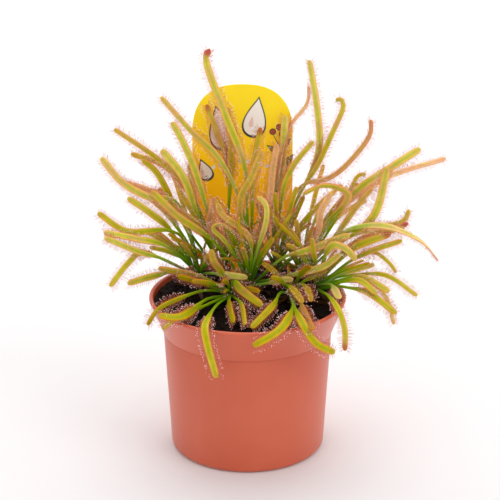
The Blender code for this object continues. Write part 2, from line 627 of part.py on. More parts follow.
def leaf_mesh(name, leaf, path, others):
    """Loft one leaf with its tentacles: petiole thick and narrow, blade thin and wide, tip blunt."""
    ahead, backs = leaf_frame(leaf, path)
    sections = leaf_sections(path, others)
    corners = []
    tips = []
    for share, _ in sections:
        place = at_share(path, share)
        along = at_share(ahead, share)
        back = square_to(at_share(backs, share), along)
        across = np.cross(along / np.linalg.norm(along), back)
        half = blade_width(share, leaf.width) / 2
        flat = min(max((share - BLADE_START) / BLADE_FLARE, 0.0), 1.0)
        thick = (PETIOLE_THICKNESS + (BLADE_THICKNESS - PETIOLE_THICKNESS) * flat) / 2
        for side, face in ((-1, -1), (1, -1), (1, 1), (-1, 1)):
            corners.append(place + across * half * side + back * thick * face)
        reach = across * (half + TENTACLE_LENGTH)
        tips.append((place + reach - back * TENTACLE_LEAN, place - reach - back * TENTACLE_LEAN))
    faces = [(0, 1, 2), (0, 2, 3)]
    for ring, (_, has_tentacles) in enumerate(sections[:-1]):
        for k in range(4):
            a, b = ring * 4 + k, ring * 4 + (k + 1) % 4
            c, d = b + 4, a + 4
            if has_tentacles and k in (1, 3):
                tip = len(corners)
                corners.append((tips[ring][k // 2] + tips[ring + 1][k // 2]) / 2)
                faces += [(b, a, tip), (c, b, tip), (d, c, tip), (a, d, tip)]
            elif k == 2:
                faces += [(b, a, c), (a, d, c)]
            else:
                faces += [(b, a, d), (b, d, c)]
    last = (len(sections) - 1) * 4
    faces += [(last, last + 2, last + 1), (last, last + 3, last + 2)]
    mesh = bpy.data.meshes.new(name)
    mesh.from_pydata([tuple(corner * MM) for corner in corners], [], faces)
    shape = bmesh.new()
    shape.from_mesh(mesh)
    bmesh.ops.recalc_face_normals(shape, faces=shape.faces)
    shape.to_mesh(mesh)
    shape.free()
    return mesh


def islands(shape):
    """Give the connected sets of faces of a mesh."""
    left = set(shape.faces)
    found = []
    while left:
        island = set()
        front = [left.pop()]
        while front:
            face = front.pop()
            island.add(face)
            for edge in face.edges:
                for other in edge.link_faces:
                    if other in left:
                        left.discard(other)
                        front.append(other)
        found.append(island)
    return found


def keep_outer_body(mesh):
    """Fill the hollows that a join has sealed, and drop loose scraps: only the largest shell stays."""
    shape = bmesh.new()
    shape.from_mesh(mesh)
    found = sorted(islands(shape), key=len)
    spare = [face for island in found[:-1] for face in island]
    bmesh.ops.delete(shape, geom=spare, context="FACES")
    shape.to_mesh(mesh)
    shape.free()


def sundew(name, plant, leaves, others, group, green):
    """Make one plant: a short stem and its leaves, joined in one solid."""
    top = plant.crown[2] + 1.0
    stem = rod("sundew_" + name, STEM_RADIUS, STEM_BOTTOM, top, plant.crown, STEM_SIDES, group)
    repeats = collection(name + "_leaves")
    for number, (leaf, path) in enumerate(leaves):
        leaf_name = f"{name}_leaf_{number + 1}"
        mesh_object(leaf_name, leaf_mesh(leaf_name, leaf, path, others), repeats)
    join = stem.modifiers.new("join_leaves", "BOOLEAN")
    join.operation = "UNION"
    join.operand_type = "COLLECTION"
    join.collection = repeats
    apply_modifiers(stem)
    for used in list(repeats.objects):
        bpy.data.objects.remove(used, do_unlink=True)
    bpy.data.collections.remove(repeats)
    keep_outer_body(stem.data)
    smooth(stem.data)
    stem.data.materials.append(material("leaf_" + name, green, 0.5))


def main():
    """Build the potted sundew."""
    clear_scene()
    group = collection("potted_sundew")
    pot(group, collection("drain_cutters"))
    soil(group, collection("soil_cutters"))
    label(group)
    paths = leaf_paths()
    for number, (name, leaves) in enumerate(paths.items()):
        green = (0.28 + 0.02 * (number % 3), 0.33 - 0.015 * (number % 4), 0.03)
        others = np.vstack([path for other, row in paths.items() if other != name for _, path in row])
        sundew(name, PLANTS[name], leaves, others, group, green)


main()
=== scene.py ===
"""Looks of the potted sundew: leaves with their tentacles and dew, peat, nursery pot, label and studio.

Lengths are in millimetres, as in the solids' own source, and MM turns them to metres where a mesh is
made. The leaves follow the solids' leaves: the same routes, cleared of each other by the same rule.
"""
import logging
import math
import random
from collections.abc import Callable, Iterable, Iterator, Mapping, Sequence
from contextlib import contextmanager
from dataclasses import dataclass, field, replace
from enum import Enum
from typing import Any

import bmesh
import bpy
import numpy as np
from mathutils import Euler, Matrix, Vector, noise


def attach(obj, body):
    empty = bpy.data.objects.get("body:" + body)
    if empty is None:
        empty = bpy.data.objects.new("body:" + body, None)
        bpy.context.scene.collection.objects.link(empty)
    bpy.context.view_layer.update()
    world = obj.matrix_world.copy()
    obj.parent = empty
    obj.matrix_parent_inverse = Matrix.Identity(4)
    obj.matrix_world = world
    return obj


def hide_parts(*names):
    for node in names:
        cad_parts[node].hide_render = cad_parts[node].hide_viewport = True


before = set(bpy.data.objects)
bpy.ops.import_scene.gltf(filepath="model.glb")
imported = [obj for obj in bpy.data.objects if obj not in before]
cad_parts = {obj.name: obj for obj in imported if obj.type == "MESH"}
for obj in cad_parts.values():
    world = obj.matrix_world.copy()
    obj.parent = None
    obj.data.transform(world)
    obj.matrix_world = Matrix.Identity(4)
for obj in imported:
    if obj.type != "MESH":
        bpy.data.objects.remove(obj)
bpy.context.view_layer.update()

LOG = logging.getLogger("potted_sundew")
MM = 0.001
MERGE = 0.00001      # metres, as the next
FINE_MERGE = 0.000001
ROOT_BODY = "root"

# The photograph's camera, fitted to the pot's rim, band and foot
IMAGE_SIZE = 500
FOCAL_PIXELS = 1805.0
SENSOR = 36.0
CAMERA_PLACE = (1.5, -1017.7, 515.4)
CAMERA_PITCH = 20.9  # degrees below the horizon

# Pot, as in the solids
POT_HEIGHT = 98.0
RIM_RADIUS = 60.0
LIP_WIDTH = 2.6
LIP_DEPTH = 3.0
BAND_BOTTOM_Z = 76.7
BAND_BOTTOM_RADIUS = 52.0
BAND_STEP = 0.5
FOOT_RADIUS = 45.8
FOOT_FLARE = 1.6
FOOT_ROUND = 3.5
FLOOR_CORNER_Z = 6.0
WALL = 1.2
SOIL_TOP = 92.5
SOIL_DISH = 1.2

# Label, as in the solids
LABEL_X = -3.1
LABEL_Y = 45.0
LABEL_WIDTH = 62.0
LABEL_TOP = 217.8
LABEL_ARCH = 33.0
LABEL_SHOULDER_Z = 122.0
LABEL_NECK_Z = 106.0
LABEL_THICKNESS = 0.8
STAKE_WIDTH = 15.0
STAKE_BOTTOM = 50.0
STAKE_POINT = 12.0

# Leaves, as in the solids
STEM_RADIUS = 3.4
ROOT_REACH = 1.3
ROOT_TURN = 137.5
ROOT_STEP = 0.31
ROOT_CYCLE = 13
PETIOLE_WIDTH = 2.2
PETIOLE_THICKNESS = 1.6
BLADE_THICKNESS = 0.8
BLADE_START = 0.46
BLADE_FLARE = 0.12
BLADE_TAPER = 0.12   # how much a blade narrows from TAPER_START to its tip
TAPER_START = 0.6
TAPER_SPAN = 0.4
FACED_SHARE = 0.7    # where along a leaf its back is turned straight to or from the viewer
PATH_POINTS = 31
VIEWER = (0.0, -0.94, 0.34)
BACKWARD = 0.3       # arching leaves that run less far back than this show the viewer their backs
ROUTE_SEED = 11

# How leaves are bent clear of each other and of what stands round them, as in the solids
CLEAR_ROUNDS = 70
CLEARANCE = 0.9
PUSH = 0.35          # the share of a short distance that is made up in a round
EASE = 0.25
SIDEWAYS = 0.45
HELD_SHARE = 0.12    # a leaf's foot gives way less over this share of its length
POST_STEP = 3.0      # the posts of points that stand for the stems
POST_MARGIN = 0.6
LEAST = 0.01         # keeps divisions safe
RIM_CLEARANCE = 4.0
RIM_INSIDE = 4.0     # the ring that counts as over the rim
RIM_OUTSIDE = 1.0
SOIL_CLEARANCE = 4.4
LIFT_STEP = 0.19
LIFT_CYCLE = 7
LABEL_CLEARANCE = 3.4
LABEL_MARGIN = 3.0   # how far beside and over the label it counts as near
LABEL_BEHIND = 4.0   # points further behind than this stay behind
NECK_MARGIN = 2.0

# Stems and leaves of the looks alone
PLANT_SEED = 100
STEM_TRIM = 0.6      # leaves room for the collars
STEM_ABOVE = 0.4     # over the crown
STALK_TRIM = 0.22    # the solids' stalks are this much too stout on each side
WIDEN_START = 0.39   # they widen over a longer stretch than the solids, about the same middle
WIDEN_SPAN = 0.26
EARLY_SPAN = 0.4     # an early blade widens over a shorter stretch, by this share of how early it is
ROUND_TIP = 0.85     # a round tip's length, as a share of the blade's width
POINT = 0.02         # what is left of the width at its very end
INNER_PAINTED_SHADE = 0.86       # painted shade of the hidden leaves, which stand in the others' shade: they are drawn darker, and they stay greener
YOUNG_LABEL_CLEARANCE = 4.5


class Facing(Enum):
    """Which side of a blade the viewer in front of the pot sees."""
    BACK = 1
    FRONT = -1


class Hue(Enum):
    """How far a leaf has turned from green to russet, and at last to the brown of a dead one."""
    LIME = 0.05
    OLIVE = 0.28
    RUSSET = 0.85
    WITHERED = 2.0


class Tip(Enum):
    """How a leaf ends: in a plain round tip, a flushed one, or a red coiled bud."""
    PLAIN = 0.15
    FLUSHED = 0.75
    BUD = 1.0


class Ink(Enum):
    """The label's printing inks, as sRGB hex values."""
    DARK = "#3A3B40"
    CREAM = "#FFF9EE"
    BLUSH = "#F2D3C4"
    SPRIG = "#7C8B22"
    BERRY = "#B5483C"


@dataclass(frozen=True)
class Leaf:
    """One leaf: its blade's width, the points that it passes through after its crown, and its finish.

    The turns are how far the blade is turned about its own run, in degrees, at its start and at its tip.
    """
    width: float
    route: tuple[tuple[float, float, float], ...]
    facing: Facing = Facing.BACK
    hue: Hue = Hue.OLIVE
    tip: Tip = Tip.PLAIN
    turns: tuple[float, float] = (0.0, 0.0)
    early: float = 0.0           # how much sooner than usual its blade starts, as a share of its length
    painted_lightness: float = 1.0       # less for a leaf in the others' shade: painted shade that darkens it, and the leaf also stays greener


@dataclass(frozen=True)
class Arc:
    """Leaves that a rule sets round a crown: compass sweep, count, lengths, and rise at root and tip."""
    start: float
    sweep: float
    count: int
    length: tuple[float, float]
    rise: tuple[float, float]
    droop: tuple[float, float]


@dataclass(frozen=True)
class Plan:
    """One plant's crown, its seen leaves, the arcs of its hidden ones, and how light its leaves are drawn, as
    painted light and shade.
    """
    crown: tuple[float, float, float]
    leaves: tuple[Leaf, ...]
    arcs: tuple[Arc, ...]
    # Painted light and shade: under 1 darkens the leaves of the front plants, over 1 lightens those of the
    # plants at the right
    tone: float = 1.0


# Each plan's tone is painted light and shade on its leaves
PLANS: dict[str, Plan] = {
    "centre": Plan((1, 18, 98), (
        Leaf(3.6, ((-2, 26, 140), (-16, 30, 173), (-35, 28, 194), (-52, 24, 216))),
        Leaf(4.8, ((0, 18, 143), (-2, 17, 175), (-13, 14, 207), (-24, 10, 240), (-22, 10, 249)), tip=Tip.BUD),
        Leaf(5.0, ((-5, 12, 149), (2, 10, 169), (9, 8, 187)), Facing.FRONT),
        Leaf(3.6, ((3, 25, 147), (4, 28, 173), (8, 30, 195)), tip=Tip.FLUSHED),
        Leaf(3.6, ((6, 8, 124), (11, 4, 143), (11, 2, 155), (6, 0, 161)), hue=Hue.LIME),
        Leaf(5.0, ((23, 8, 120), (41, 0, 127), (61, -10, 140))),
        Leaf(4.6, ((26, 8, 107), (44, 2, 115), (56, -2, 125)), hue=Hue.LIME),
        Leaf(4.0, ((14, 6, 103), (28, -6, 110))),
        Leaf(2.8, ((-12, 8, 127), (-21, 4, 139), (-16, 2, 143), (-8, 0, 139)), hue=Hue.LIME),
        Leaf(4.6, ((-20, 10, 128), (-41, 2, 147), (-57, -4, 166))),
        Leaf(4.4, ((13, 26, 146), (15, 30, 164), (18, 32, 184)), Facing.FRONT, hue=Hue.RUSSET),
        Leaf(4.2, ((2, 4, 130), (-6, 0, 142), (-15, -4, 151), (-18, -6, 159)), Facing.FRONT),
    ), (
        Arc(20, 330, 6, (40, 62), (60, 80), (35, 70)),
    )),
    "front_left": Plan((-10, 2, 98), (
        Leaf(4.6, ((-18, -24, 101), (-23, -52, 102), (-23, -64, 94), (-18, -65, 72)), hue=Hue.LIME),
        Leaf(4.0, ((-11, -20, 101), (-8, -44, 97))),
        Leaf(3.4, ((-4, -22, 101), (-1, -48, 97))),
        Leaf(5.3, ((-8, -5, 108), (-4, -10, 105), (9, -24, 100)), hue=Hue.OLIVE, early=0.12),
        Leaf(4.0, ((-26, -4, 106), (-42, -12, 115))),
        Leaf(4.0, ((-26, 6, 106), (-54, -2, 116))),
        Leaf(4.6, ((-14, -2, 111), (-20, -8, 122), (-22, -10, 131))),
        Leaf(5.2, ((-24, -16, 101), (-32, -32, 101), (-37, -45, 102), (-44, -49, 103), (-52, -47, 104)),
             hue=Hue.LIME),
        Leaf(3.6, ((-26, -22, 99), (-38, -42, 99), (-50, -47, 95)), hue=Hue.LIME),
        Leaf(3.0, ((-28, -10, 104), (-49, -30, 102), (-59, -41, 95))),
    ), (
        Arc(190, 150, 3, (26, 36), (30, 50), (0, 20)),
    ), tone=0.78),
    "left": Plan((-30, 29, 100), (
        Leaf(4.2, ((-39, 24, 124), (-50, 18, 133), (-73, 10, 135), (-90, 2, 150)), hue=Hue.LIME),
        Leaf(4.8, ((-49, 15, 123), (-68, 3, 133), (-86, -8, 141))),
        Leaf(3.8, ((-51, 12, 116), (-66, 2, 125), (-85, -14, 140)), hue=Hue.LIME),
        Leaf(3.8, ((-48, 22, 110), (-64, 14, 120), (-73, 8, 115), (-84, 2, 102)), hue=Hue.LIME),
        Leaf(4.4, ((-45, 24, 103), (-60, 18, 102), (-74, 12, 100)), hue=Hue.LIME),
        Leaf(4.4, ((-47, 28, 128), (-60, 22, 143), (-73, 18, 154)), hue=Hue.LIME),
        Leaf(4.6, ((-42, 34, 143), (-61, 26, 152), (-76, 20, 163), (-88, 14, 181))),
        Leaf(3.8, ((-49, 38, 143), (-60, 34, 153), (-77, 30, 160)), hue=Hue.RUSSET),
        Leaf(4.4, ((-20, 14, 106), (0, 2, 108)), hue=Hue.LIME),
    ), (
        Arc(105, 60, 4, (62, 84), (55, 75), (-5, 30)),
        Arc(150, 60, 3, (38, 55), (45, 70), (5, 40)),
    )),
    "back": Plan((-16, 34, 100), (
        Leaf(3.4, ((-33, 39, 145), (-51, 37, 169), (-81, 30, 194))),
        Leaf(4.0, ((-34, 40, 144), (-50, 43, 165), (-72, 40, 175)), hue=Hue.LIME),
        Leaf(4.2, ((-44, 37, 136), (-50, 35, 152), (-56, 31, 166), (-64, 25, 176)), hue=Hue.LIME),
        Leaf(5.2, ((-31, 30, 138), (-39, 26, 164), (-52, 20, 184)), hue=Hue.LIME),
        Leaf(4.8, ((-22, 30, 129), (-31, 26, 166), (-38, 20, 187), (-45, 15, 203)), hue=Hue.LIME),
        Leaf(4.8, ((-11, 37, 152), (-10, 38, 179), (-13, 36, 206)), Facing.FRONT, hue=Hue.LIME),
        Leaf(3.6, ((-11, 39, 160), (-19, 40, 189), (-25, 38, 207)), tip=Tip.FLUSHED),
        Leaf(4.2, ((-23, 22, 133), (-22, 16, 145), (-20, 12, 156)), Facing.FRONT, hue=Hue.RUSSET),
        Leaf(3.8, ((-31, 39, 133), (-34, 39, 152), (-36, 38, 169))),
    ), (
        Arc(170, 150, 4, (45, 66), (62, 80), (30, 65)),
        Arc(150, 26, 2, (34, 46), (30, 42), (0, 20)),
    )),
    "back_right": Plan((18, 36, 100), (
        Leaf(4.4, ((26, 40, 133), (37, 40, 158), (44, 38, 180), (42, 36, 207), (37, 34, 236)),
             turns=(20, 50)),
        Leaf(2.8, ((18, 39, 149), (24, 40, 188), (36, 41, 206), (37, 41, 218)), hue=Hue.RUSSET,
             turns=(30, 40)),
        Leaf(3.4, ((30, 36, 145), (43, 36, 169), (52, 34, 191), (58, 34, 206), (56, 34, 212), (53, 34, 211)),
             turns=(10, 40)),
        Leaf(3.6, ((30, 33, 152), (49, 30, 162), (60, 26, 172), (73, 22, 191), (74, 20, 203)), hue=Hue.RUSSET,
             turns=(50, 30)),
        Leaf(3.8, ((21, 33, 148), (27, 32, 168), (40, 28, 187)), hue=Hue.LIME),
        Leaf(5.2, ((16, 38, 140), (21, 40, 167), (23, 39, 200)), hue=Hue.LIME),
    ), (
        Arc(200, 200, 5, (45, 72), (65, 82), (40, 70)),
        Arc(4, 22, 2, (30, 42), (36, 48), (0, 20)),
    ), tone=1.05),
    "right_back": Plan((33, 29, 100), (
        Leaf(5.0, ((50, 30, 132), (66, 26, 155), (86, 20, 172), (104, 16, 186)), hue=Hue.LIME),
        Leaf(3.6, ((48, 40, 130), (64, 42, 143), (88, 44, 159), (123, 46, 170)), hue=Hue.RUSSET,
             turns=(15, 40)),
        Leaf(2.8, ((56, 36, 136), (64, 36, 154), (68, 36, 162), (73, 36, 163)), hue=Hue.LIME),
        Leaf(4.2, ((54, 24, 127), (66, 22, 146), (76, 20, 160)), Facing.FRONT),
        Leaf(5.2, ((55, 16, 130), (69, 8, 138), (78, 4, 152), (83, 2, 179))),
        Leaf(4.8, ((49, 20, 137), (58, 12, 151), (60, 8, 161), (46, 6, 166), (33, 4, 161)), turns=(20, 35)),
        Leaf(4.4, ((43, 12, 135), (44, 8, 148), (50, 6, 161)), Facing.FRONT, hue=Hue.RUSSET),
        Leaf(3.6, ((60, 28, 127), (81, 24, 133), (95, 22, 137), (99, 22, 145)), hue=Hue.LIME, turns=(50, 10)),
        Leaf(3.2, ((64, 22, 128), (84, 18, 132), (98, 16, 138)), tip=Tip.BUD),
    ), (
        Arc(25, 55, 4, (60, 84), (55, 75), (-5, 30)),
        Arc(180, 120, 4, (38, 60), (60, 78), (30, 60)),
    ), tone=1.05),
    "right": Plan((43, 11, 100), (
        Leaf(4.2, ((50, 8, 127), (62, 4, 139), (82, -2, 143), (103, -8, 136), (114, -10, 124)),
             turns=(0, 112)),
        Leaf(4.8, ((59, 6, 121), (67, 2, 129), (86, -4, 139)), tip=Tip.FLUSHED),
        Leaf(3.7, ((60, 16, 111), (74, 12, 121), (94, 8, 130))),
        Leaf(4.8, ((49, -6, 131), (58, -12, 133), (65, -16, 126))),
        Leaf(3.4, ((60, 18, 104), (78, 14, 112))),
        Leaf(2.5, ((63, 24, 110), (77, 22, 117), (87, 20, 111), (92, 20, 104))),
        Leaf(4.4, ((60, 8, 105), (71, 2, 108), (86, -6, 102))),
        Leaf(4.2, ((61, 2, 106), (69, -4, 108), (78, -10, 102)), turns=(30, 30)),
        Leaf(3.0, ((63, 18, 102), (85, 16, 104), (105, 14, 91)), hue=Hue.LIME),
        Leaf(4.2, ((59, 0, 101), (73, -6, 101), (90, -14, 91)), hue=Hue.LIME),
        Leaf(2.6, ((63, 6, 103), (78, 4, 102), (86, 2, 92), (90, 2, 77))),
        Leaf(3.6, ((49, -22, 105), (54, -42, 104), (57, -49, 95), (57, -51, 83)), tip=Tip.FLUSHED),
        Leaf(5.0, ((51, 0, 104), (55, -20, 101))),
    ), (
        Arc(-5, 50, 3, (50, 66), (40, 60), (-10, 20)),
        Arc(150, 120, 3, (32, 48), (60, 78), (30, 60)),
    ), tone=1.05),
    "front_right": Plan((27, 3, 98), (
        Leaf(4.8, ((27, -22, 101), (31, -52, 102), (39, -62, 93), (51, -56, 84)), hue=Hue.LIME),
        Leaf(5.2, ((28, -18, 101), (24, -46, 103), (14, -65, 100), (3, -69, 94)), hue=Hue.LIME),
        Leaf(4.4, ((20, -8, 102), (15, -28, 102), (2, -50, 97)), hue=Hue.LIME),
        Leaf(4.4, ((24, -4, 105), (28, -14, 106), (33, -26, 103)), Facing.FRONT, hue=Hue.LIME),
        Leaf(4.0, ((32, -2, 105), (36, -12, 106), (38, -24, 103)), Facing.FRONT),
        Leaf(4.0, ((31, -18, 101), (34, -44, 103), (38, -62, 101)), hue=Hue.RUSSET),
    ), (
        Arc(120, 280, 4, (24, 38), (40, 66), (10, 40)),
    ), tone=0.78),
}


# Slim young leaves that fill each plant's middle, finer than the solids carry
YOUNG: dict[str, tuple[Arc, ...]] = {
    "centre": (Arc(0, 360, 8, (34, 62), (58, 85), (40, 80)),),
    "front_left": (Arc(20, 300, 3, (14, 24), (35, 65), (0, 40)),),
    "left": (Arc(-90, 180, 6, (28, 50), (30, 70), (0, 55)), Arc(90, 180, 3, (30, 46), (50, 75), (20, 60))),
    "back": (Arc(180, 180, 8, (32, 60), (38, 80), (20, 65)),),
    "back_right": (Arc(180, 180, 7, (30, 56), (38, 80), (20, 65)),),
    "right_back": (Arc(170, 190, 5, (30, 54), (38, 76), (15, 62)),),
    "right": (Arc(150, 60, 2, (34, 52), (60, 78), (40, 65)), Arc(-20, 110, 3, (28, 44), (20, 45), (0, 20))),
    "front_right": (Arc(60, 200, 2, (14, 22), (35, 60), (10, 40)),),
}


def linear(hex_colour: str) -> tuple[float, float, float, float]:
    """Turn an sRGB hex colour to the linear red, green, blue and opacity that a shader takes.

    Args:
        hex_colour: the colour, as "#RRGGBB".

    Returns:
        The linear colour, opaque.
    """
    parts = [int(hex_colour[i:i + 2], 16) / 255 for i in (1, 3, 5)]
    curve = [p / 12.92 if p <= 0.04045 else ((p + 0.055) / 1.055) ** 2.4 for p in parts]
    return (curve[0], curve[1], curve[2], 1.0)


def plug(node: bpy.types.Node, inputs: Mapping[Any, Any]) -> None:
    """Fill a node's inputs.

    Args:
        node: the node.
        inputs: by input name or number, a socket to join, an sRGB hex colour or a plain value.
    """
    for name, value in inputs.items():
        if isinstance(value, bpy.types.NodeSocket):
            node.id_data.links.new(value, node.inputs[name])
        else:
            node.inputs[name].default_value = linear(value) if isinstance(value, str) else value


def add_node(tree: bpy.types.NodeTree, kind: str, inputs: Mapping[Any, Any] | None = None, output: str = "",
             stops: Sequence[tuple[float, str]] = (), **settings: Any) -> bpy.types.NodeSocket:
    """Add a node to a material, with its settings, values and links.

    Args:
        tree: the material's node tree.
        kind: the node's type name, without its first part.
        inputs: what its inputs take, as plug reads it.
        output: the name of the output to give, if not the first one in use.
        stops: a colour ramp's places, from 0 to 1, with their sRGB hex colours.
        settings: the node's own properties.

    Returns:
        The node's output.
    """
    made = tree.nodes.new("ShaderNode" + kind)
    for name, value in settings.items():
        setattr(made, name, value)
    plug(made, inputs or {})
    if stops:
        marks = made.color_ramp.elements
        for place, _ in stops[2:]:
            marks.new(place)
        for mark, (place, colour) in zip(marks, stops):
            mark.position = place
            mark.color = linear(colour)
    return made.outputs[output] if output else next(socket for socket in made.outputs if socket.enabled)


def new_material(name: str) -> tuple[bpy.types.Material, bpy.types.NodeTree, bpy.types.Node]:
    """Start a material and give it, its node tree and its Principled shader.

    Args:
        name: the material's name.

    Returns:
        The material, its node tree and its shader.
    """
    made = bpy.data.materials.new(name)
    made.use_nodes = True
    return made, made.node_tree, made.node_tree.nodes["Principled BSDF"]


@dataclass(frozen=True)
class TerracottaPolypropylene:
    """Injection-moulded polypropylene: a satin skin, a faint mould texture, and scuffs and dust."""
    base: str = "#CA5634"
    pale: str = "#D2603E"
    dust: str = "#A85A42"
    roughness: float = 0.4
    grain_mm: float = 0.9    # real mould grain is about 0.1 mm, drawn coarser so that it shows

    def build(self) -> bpy.types.Material:
        """Build the pot's material.

        Returns:
            The material.
        """
        made, tree, shader = new_material("terracotta_polypropylene")
        place = add_node(tree, "TexCoord", output="Object")
        broad = add_node(tree, "TexNoise", {"Scale": 22.0, "Detail": 2.0, "Vector": place})
        colour = add_node(tree, "ValToRGB", {"Fac": broad}, stops=((0.3, self.base), (0.75, self.pale)))
        specks = add_node(tree, "TexNoise", {"Scale": 420.0, "Detail": 4.0, "Vector": place})
        dusty = add_node(tree, "MapRange", {"Value": specks, "From Min": 0.66, "From Max": 0.74,
                                            "To Max": 0.35})
        grain = add_node(tree, "TexNoise", {"Scale": 1.0 / (self.grain_mm * MM), "Detail": 3.0,
                                            "Vector": place})
        plug(shader, {
            "Base Color": add_node(tree, "Mix", {0: dusty, 6: colour, 7: self.dust}, data_type="RGBA"),
            "Roughness": add_node(tree, "MapRange", {"Value": broad, "To Min": self.roughness - 0.06,
                                                     "To Max": self.roughness + 0.1}),
            "Normal": add_node(tree, "Bump", {"Strength": 0.12, "Distance": 0.0002, "Height": grain}),
            "IOR": 1.49, "Coat Weight": 0.36, "Coat Roughness": 0.32,
            "Subsurface Weight": 0.08, "Subsurface Scale": 0.002})
        return made


@dataclass(frozen=True)
class MoistPeat:
    """Milled sphagnum peat, moist: crumbs and fibres from near black to dark brown, dull with damp glints."""
    wet: str = "#070302"
    dry: str = "#1C0F08"
    straw: str = "#4A2E18"

    def build(self) -> bpy.types.Material:
        """Build the peat's material.

        Returns:
            The material.
        """
        made, tree, shader = new_material("moist_peat")
        place = add_node(tree, "TexCoord", output="Object")
        crumbs = add_node(tree, "TexNoise", {"Scale": 380.0, "Detail": 6.0, "Roughness": 0.65,
                                             "Vector": place})
        plug(shader, {
            "Base Color": add_node(tree, "ValToRGB", {"Fac": crumbs},
                                   stops=((0.35, self.wet), (0.62, self.dry), (0.78, self.straw))),
            "Roughness": add_node(tree, "MapRange", {"Value": crumbs, "From Min": 0.3, "From Max": 0.7,
                                                     "To Min": 0.55}),
            "Normal": add_node(tree, "Bump", {"Strength": 0.8, "Distance": 0.0008, "Height": crumbs}),
            "Specular IOR Level": 0.12})
        return made


@dataclass(frozen=True)
class LeafTissue:
    """A sundew's leaf: smooth, a little waxy and translucent, with a green stalk and a yellow-green blade.

    The blade has amber rims, and turns russet in patches as it ages. Its very margin is red, its inner
    face flushed.
    """
    crown: str = "#456E0A"
    stalk: str = "#74A80E"
    neck: str = "#9DB718"
    blade: str = "#BFC022"
    blade_end: str = "#D0CC46"
    russet: str = "#E4A27C"
    rim: str = "#EDB25C"
    margin: str = "#DC7A5C"
    inner_flush: str = "#EAB65E"     # the side that bears the tentacles
    young: str = "#C0564A"           # curled young tips
    withered: str = "#4E3118"        # dead leaves and the old stem
    patch_mm: float = 16.0           # how far apart the russet patches lie
    vein_mm: float = 0.35            # how far apart its ribs lie, and half a blade's width
    half_mm: float = 2.2
    streak_scale: float = 260.0      # fine mottle of about 4 mm

    def build(self) -> bpy.types.Material:
        """Build the leaves' material, which reads the attributes along, side, inner, tone, age and blush.

        Returns:
            The material.
        """
        made, tree, shader = new_material("leaf_tissue")
        place = add_node(tree, "TexCoord", output="Object")
        told = {name: add_node(tree, "Attribute", output="Fac", attribute_name=name)
                for name in ("along", "side", "inner", "tone", "age", "blush")}

        patches = add_node(tree, "TexNoise", {"Scale": 1.0 / (self.patch_mm * MM), "Detail": 3.0,
                                              "Vector": place})
        told["aged"] = add_node(tree, "Math", {0: told["age"], 1: 0.55, 2: patches}, operation="MULTIPLY_ADD")
        told["streak"] = add_node(tree, "TexNoise", {"Scale": self.streak_scale, "Detail": 3.0,
                                                     "Vector": place})
        # swell lightens a blade towards its margins: painted light that works against the shading of its
        # rounded edges
        part = {name: add_node(tree, "MapRange", {"Value": told[source], "From Min": low, "From Max": high,
                                                  "To Min": least, "To Max": most})
                for name, source, low, high, least, most in (
                    ("blade", "along", 0.44, 0.56, 0.0, 1.0), ("rim", "side", 0.35, 0.9, 0.0, 0.75),
                    ("turned", "aged", 0.6, 0.95, 0.0, 0.8), ("grown", "along", 0.3, 0.6, 0.25, 1.0),
                    ("inside", "inner", 0.0, 1.0, 0.0, 0.4), ("margin", "side", 0.82, 1.0, 0.0, 0.7),
                    ("dead", "age", 1.0, 1.6, 0.0, 1.0), ("swell", "side", 0.0, 0.8, 0.84, 1.08),
                    ("light", "streak", 0.0, 1.0, 0.78, 1.22))}
        colour = add_node(tree, "ValToRGB", {"Fac": told["along"]}, stops=(
            (0.04, self.crown), (0.24, self.stalk), (0.48, self.neck), (0.62, self.blade),
            (0.95, self.blade_end)))
        for tint, share, mask in (
                (self.rim, part["rim"], part["blade"]), (self.russet, part["turned"], part["grown"]),
                (self.inner_flush, part["inside"], part["blade"]),
                (self.margin, part["margin"], part["blade"]),
                (self.young, told["blush"], 1.0), (self.withered, part["dead"], 1.0)):
            amount = add_node(tree, "Math", {0: share, 1: mask}, operation="MULTIPLY")
            colour = add_node(tree, "Mix", {0: amount, 6: colour, 7: tint}, data_type="RGBA")
        # tone holds painted light and shade with a random spread, swell is painted light at the margins, and
        # light is a random mottle
        bright = told["tone"]
        for share in (part["swell"], part["light"]):
            bright = add_node(tree, "Math", {0: bright, 1: share}, operation="MULTIPLY")
        # Painted shade: a leaf drawn darker is also drawn a deeper, more saturated green
        shade_saturation = add_node(tree, "Math", {0: told["tone"], 1: -0.55, 2: 1.55}, operation="MULTIPLY_ADD")
        turns = add_node(tree, "Math", {0: told["side"], 1: math.pi * self.half_mm / self.vein_mm},
                         operation="MULTIPLY")
        wave = add_node(tree, "Math", {0: turns}, operation="SINE")
        veins = add_node(tree, "Math", {0: told["streak"], 1: 1.5, 2: wave}, operation="MULTIPLY_ADD")
        plug(shader, {
            "Base Color": add_node(tree, "HueSaturation", {
                "Color": colour, "Saturation": shade_saturation, "Value": bright}),
            "Normal": add_node(tree, "Bump", {"Strength": 0.15, "Distance": 0.0001, "Height": veins}),
            "Roughness": 0.44, "Specular IOR Level": 0.16, "Subsurface Weight": 0.5,
            "Subsurface Radius": (1.0, 1.0, 0.25), "Subsurface Scale": 0.0016})
        return made


